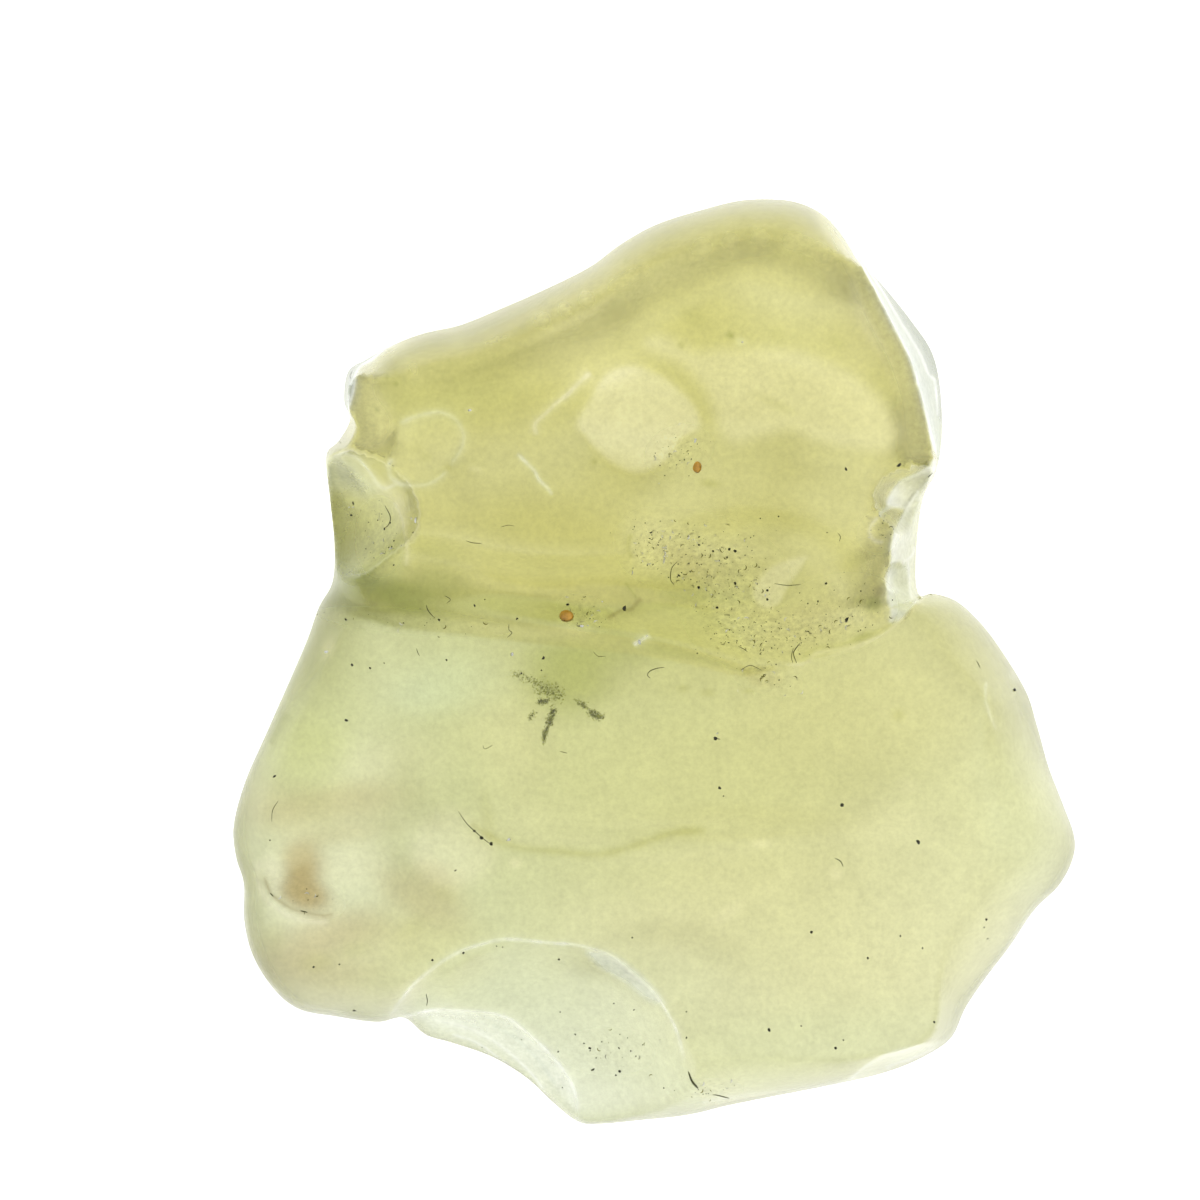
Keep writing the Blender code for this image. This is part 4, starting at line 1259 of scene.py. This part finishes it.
def tapered(tree, curve, sides, width, bluntness):
    """A strand along a curve, thin at both ends and blunter at a lower power."""
    share = tree.nodes.new("GeometryNodeSplineParameter").outputs["Factor"]
    bow = worked_out(tree, "SINE", worked_out(tree, "MULTIPLY", share, math.pi))
    bow = worked_out(tree, "POWER", bow, bluntness)
    section = add_node(tree, "GeometryNodeCurvePrimitiveCircle", Resolution=sides, Radius=1.0)
    strand = add_node(
        tree, "GeometryNodeCurveToMesh", Curve=curve, Profile_Curve=section.outputs["Curve"],
        Scale=worked_out(tree, "MULTIPLY", bow, width), Fill_Caps=True,
    )
    return strand.outputs["Mesh"]


def arc_tree():
    """Open arcs at the rims of tiny pits, as their painted shadows and highlights, strewn over the carrier's
    pitted skin and lying on it.
    """
    tree, given = new_tree("pit_rims", Seed="Int", Density="Float", Least="Float", Most="Float")
    arc = add_node(tree, "GeometryNodeCurveArc", Resolution=7, Radius=1.0, Sweep_Angle=2.6)
    size = spread(tree, random_value(tree, given, 6, 0.0, 1.0), given["Least"], given["Most"], 0.0, 1.0)
    copies = add_node(
        tree, "GeometryNodeInstanceOnPoints", Points=strewn_points(tree, given),
        Instance=tapered(tree, arc.outputs["Curve"], 4, 0.22, 1.0),
        Rotation=random_value(tree, given, 5, (0.0, 0.0, 0.0), (0.3, 0.3, math.tau)), Scale=size,
    )
    return end_tree(tree, given, copies.outputs["Instances"])


def thread_tree():
    """A thin strand along each line of the carrier."""
    tree, given = new_tree("threads", Step="Float")
    strands = add_node(tree, "GeometryNodeMeshToCurve", Mesh=given["Geometry"])
    even = add_node(
        tree, "GeometryNodeResampleCurve", {"mode": "LENGTH"},
        Curve=strands.outputs["Curve"], Length=given["Step"],
    )
    strand = tapered(tree, even.outputs["Curve"], 6, named_value(tree, "size"), 0.35)
    strand = add_node(tree, "GeometryNodeSetShadeSmooth", Geometry=strand)
    return end_tree(tree, given, strand.outputs["Geometry"])


def grown(name, carrier_mesh, tree, values):
    """Runs a tree on a carrier mesh and leaves its result as a plain mesh object."""
    piece = placed(name, carrier_mesh)
    modifier = piece.modifiers.new("grow", "NODES")
    modifier.node_group = tree
    for socket in tree.interface.items_tree:
        if socket.name in values:
            modifier[socket.identifier] = values[socket.name]
    graph = bpy.context.evaluated_depsgraph_get()
    mesh = bpy.data.meshes.new_from_object(
        piece.evaluated_get(graph), preserve_all_data_layers=True, depsgraph=graph
    )
    if not mesh.polygons:
        raise RuntimeError(f"{name} grew nothing")
    mesh.name = name
    piece.modifiers.clear()
    piece.data = mesh
    finish_piece(piece)


def finish_piece(piece):
    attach(piece, "root")


def stone_surface():
    """The finished stone's surface, to set small things on."""
    stone = bpy.data.objects["worn_stone"]
    points = [vertex.co.copy() for vertex in stone.data.vertices]
    return BVHTree.FromPolygons(points, [tuple(face.vertices) for face in stone.data.polygons])


def on_stone(surface, x, y, sunk):
    """The point on the stone's top over a place in millimetres, sunk into it by a depth."""
    hit, *_ = surface.ray_cast(Vector((x * MM, y * MM, 0.1)), Vector((0, 0, -1)))
    if hit is None:
        raise RuntimeError(f"no stone under {x}, {y}")
    return (hit.x, hit.y, hit.z - sunk * MM)


def carrier(name, routes, sizes):
    """Lines of points, or single points, with a size for each line, for a tree to build on."""
    places, edges, widths = [], [], []
    for route, size in zip(routes, sizes):
        first = len(places)
        places += route
        edges += [(first + k, first + k + 1) for k in range(len(route) - 1)]
        widths += [size * MM] * len(route)
    mesh = bpy.data.meshes.new(name)
    mesh.from_pydata(places, edges, [])
    store(mesh, "size", "FLOAT", widths)
    return mesh


class OBJECT_OT_desert_glass_stone(bpy.types.Operator):
    """Makes the stone itself, with its chips, hollows and worn skin"""

    bl_idname = "object.desert_glass_stone"
    bl_label = "Stone"

    def execute(self, context):
        settings = context.scene.desert_glass_stone
        rim = even_steps(EDGE_CURVE, settings.rim_steps, closed=True)
        top_xy = top_places(rim, settings.top_spacing / MM)
        under_xy = under_places(rim, settings.under_spacing / MM)
        top, under = top_skin(*top_xy.T), under_skin(*under_xy.T)
        inner = slice(len(rim), None)
        under_faces = triangulated(under_xy, len(rim))[:, ::-1]
        under_faces = np.where(under_faces < len(rim), under_faces, under_faces + len(top_xy) - len(rim))
        points = np.vstack([
            np.column_stack([top_xy, top.height]),
            np.column_stack([under_xy, under.height])[inner],
        ])
        points[: len(rim), 2] = rim_values(*rim.T)[0]
        top_faces = triangulated(top_xy, len(rim))
        stone = mesh_object("worn_stone", points, np.vstack([top_faces, under_faces]))
        # The tint attribute: the glass's own colour with painted shade and highlights
        tint = np.vstack([top.tint, under.tint[inner]])
        store(stone.data, "tint", "FLOAT_COLOR", np.column_stack([tint, np.ones(len(tint))]))
        for name in ("frost", "rough", "pitting"):
            store(stone.data, name, "FLOAT", np.append(getattr(top, name), getattr(under, name)[inner]))
        stone.data.materials.append(glass_material(settings))
        finish_piece(stone)
        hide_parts(STONE_NODE)
        return {"FINISHED"}


class OBJECT_OT_desert_glass_grains(bpy.types.Operator):
    """Makes the rounded orange sand grains wedged in pits"""

    bl_idname = "object.desert_glass_grains"
    bl_label = "Sand Grains"

    def execute(self, context):
        settings = context.scene.desert_glass_bits
        surface = stone_surface()
        bm = bmesh.new()
        for (x, y), halves in GRAINS:
            made = bmesh.ops.create_icosphere(bm, subdivisions=4, radius=1.0)["verts"]
            middle = Vector(on_stone(surface, x, y, GRAIN_SINK * halves[2]))
            for vert in made:
                lump = 1 + 0.10 * noise.noise(vert.co * 1.3 + middle * 900)
                lump += 0.03 * noise.noise(vert.co * 5)
                vert.co = Vector(a * b * MM * lump for a, b in zip(vert.co, halves)) + middle
        mesh = bpy.data.meshes.new("sand_grains")
        bm.to_mesh(mesh)
        bm.free()
        mesh.shade_smooth()
        mesh.materials.append(crumb_material("desert_sand", settings.sand_colour, roughness=0.35, clear=0.35))
        finish_piece(placed("sand_grains", mesh))
        return {"FINISHED"}


class OBJECT_OT_desert_glass_specks(bpy.types.Operator):
    """Makes the dark specks lodged in the skin, and small white crumbs as painted glints of its pits"""

    bl_idname = "object.desert_glass_specks"
    bl_label = "Specks"

    def execute(self, context):
        settings = context.scene.desert_glass_bits
        surface, tree = stone_surface(), speck_tree()
        dark = crumb_material("dark_mineral", settings.speck_colour, roughness=0.6)
        # Painted glints: white crumbs where the pits sparkle
        pale = crumb_material("glint_fleck", (0.95, 1.0, 0.92), roughness=0.25, clear=0.3)
        for name, table, material, salt in (
            ("dark_specks", SPECKS, dark, 0), ("glint_flecks", FLECKS, pale, 50),
        ):
            spots = [(x, y, size) for size, places in table.items() for x, y in places]
            routes = [[on_stone(surface, x, y, SPECK_SINK * size)] for x, y, size in spots]
            points = carrier(name, routes, [size for *_, size in spots])
            grown(name, points, tree, {"Material": material, "Seed": settings.seed + salt})
        return {"FINISHED"}


class OBJECT_OT_desert_glass_pits(bpy.types.Operator):
    """Strews crumbs over the pitted skin, and arcs on the rims of its tiny pits as their painted shadows and
    highlights
    """

    bl_idname = "object.desert_glass_pits"
    bl_label = "Pitted Skin"

    def execute(self, context):
        settings = context.scene.desert_glass_bits
        skin = bpy.data.objects["worn_stone"].data
        crumbs, rims = pit_tree(), arc_tree()
        # Painted shadow and painted highlight on the two sides of the tiny pits' rims
        shadow = crumb_material("pit_shadow", (0.16, 0.15, 0.03), roughness=0.6)
        pale = crumb_material("pit_highlight", (0.92, 0.93, 0.74), roughness=0.4, clear=0.3)
        dark = crumb_material("pit_dirt", settings.speck_colour, roughness=0.6)
        per_square_metre = 1e6
        for name, tree, material, density, least, most, salt in (
            ("pit_dirt", crumbs, dark, settings.pit_density, 0.010, 0.050, 100),
            ("pit_shadows", rims, shadow, settings.arc_density, 0.04, 0.14, 200),
            ("pit_highlights", rims, pale, settings.arc_density, 0.04, 0.15, 300),
        ):
            values = {
                "Material": material, "Seed": settings.seed + salt, "Density": density * per_square_metre,
                "Least": least * MM, "Most": most * MM,
            }
            grown(name, skin.copy(), tree, values)
        return {"FINISHED"}


class OBJECT_OT_desert_glass_threads(bpy.types.Operator):
    """Makes the hair-like threads caught in the skin"""

    bl_idname = "object.desert_glass_threads"
    bl_label = "Threads"

    def execute(self, context):
        settings = context.scene.desert_glass_bits
        surface = stone_surface()
        routes = [
            [on_stone(surface, x, y, THREAD_SINK * width) for x, y in smooth_curve(points, THREAD_SAMPLES)]
            for width, points in THREADS
        ]
        strands = carrier("hair_threads", routes, [width for width, _ in THREADS])
        material = crumb_material("plant_thread", settings.thread_colour, roughness=0.55)
        grown("hair_threads", strands, thread_tree(), {"Material": material, "Step": 0.06 * MM})
        return {"FINISHED"}


class OBJECT_OT_desert_glass_streaks(bpy.types.Operator):
    """Makes the smoky streaks of dust that are sealed under the skin"""

    bl_idname = "object.desert_glass_streaks"
    bl_label = "Smoky Streaks"

    def execute(self, context):
        settings = context.scene.desert_glass_bits
        surface = stone_surface()
        draw = np.random.default_rng(settings.seed)
        routes, sizes = [], []
        for breadth, share, points in STREAKS:
            count = int(share * settings.dust_count)
            route = even_steps(smooth_curve(points, THREAD_SAMPLES), 60)
            middles = route[draw.integers(0, len(route), count)]
            for x, y in middles + draw.normal(0, breadth / 2, (count, 2)):
                depth = DUST_DEPTH + abs(draw.normal(0, DUST_SCATTER))
                routes.append([on_stone(surface, x, y, depth)])
                sizes.append(DUST_SIZE + DUST_SIZE_RANGE * draw.random())
        material = crumb_material("smoky_dust", settings.dust_colour, roughness=0.7, clear=0.5)
        dust = carrier("smoky_streaks", routes, sizes)
        grown("smoky_streaks", dust, speck_tree(), {"Material": material, "Seed": settings.seed + 400})
        return {"FINISHED"}


class OBJECT_OT_desert_glass_stage(bpy.types.Operator):
    """Makes the pale floor, the soft light and the camera that looks straight down"""

    bl_idname = "object.desert_glass_stage"
    bl_label = "Stage"

    def execute(self, context):
        settings = context.scene.desert_glass_stage
        bpy.ops.mesh.primitive_plane_add(size=4.0, location=(0, 0, -FLOOR_GAP * MM))
        floor = context.object
        floor.name = "pale_floor"
        material, _, shader = new_shader("pale_floor")
        look = {"Base Color": (0.9, 0.9, 0.9, 1), "Roughness": 0.9, "Emission Color": (1, 1, 1, 1)}
        for name, value in {**look, "Emission Strength": settings.floor_glow}.items():
            shader[name].default_value = value
        floor.data.materials.append(material)
        world = bpy.data.worlds.new("studio")
        world.use_nodes = True
        sky = world.node_tree.nodes["Background"].inputs
        sky["Color"].default_value = (1, 1, 1, 1)
        sky["Strength"].default_value = settings.sky_strength
        context.scene.world = world
        context.scene.view_settings.view_transform = "Standard"
        self.add_camera(context, settings)
        return {"FINISHED"}

    def add_camera(self, context, settings):
        """The camera stands over the middle of the picture, so that it needs no shift."""
        data = bpy.data.cameras.new("camera")
        data.lens, data.sensor_width = settings.lens, SENSOR_WIDTH
        data.clip_start, data.clip_end = 0.01, 10.0
        camera = placed("camera", data)
        distance = settings.field_width * settings.lens / data.sensor_width
        camera.location = (*(place * MM for place in PICTURE_MIDDLE), PICTURE_HEIGHT * MM + distance)
        context.scene.camera = camera


class VIEW3D_PT_desert_glass(bpy.types.Panel):
    bl_label = "Desert Glass"
    bl_space_type = "VIEW_3D"
    bl_region_type = "UI"
    bl_category = "Desert Glass"

    def draw(self, context):
        for operator in OPERATORS:
            self.layout.operator(operator.bl_idname)


SETTINGS = {
    "desert_glass_stone": StoneSettings,
    "desert_glass_bits": BitSettings,
    "desert_glass_stage": StageSettings,
}
OPERATORS = (
    OBJECT_OT_desert_glass_stone,
    OBJECT_OT_desert_glass_grains,
    OBJECT_OT_desert_glass_specks,
    OBJECT_OT_desert_glass_pits,
    OBJECT_OT_desert_glass_threads,
    OBJECT_OT_desert_glass_streaks,
    OBJECT_OT_desert_glass_stage,
)
CLASSES = (*SETTINGS.values(), *OPERATORS, VIEW3D_PT_desert_glass)


def register():
    for cls in CLASSES:
        bpy.utils.register_class(cls)
    for name, cls in SETTINGS.items():
        setattr(bpy.types.Scene, name, bpy.props.PointerProperty(type=cls))


def unregister():
    for name in SETTINGS:
        delattr(bpy.types.Scene, name)
    for cls in reversed(CLASSES):
        bpy.utils.unregister_class(cls)


def main():
    register()
    bpy.ops.object.desert_glass_stone()
    bpy.ops.object.desert_glass_grains()
    bpy.ops.object.desert_glass_specks()
    bpy.ops.object.desert_glass_pits()
    bpy.ops.object.desert_glass_threads()
    bpy.ops.object.desert_glass_streaks()
    bpy.ops.object.desert_glass_stage()


if __name__ == "__main__":
    main()
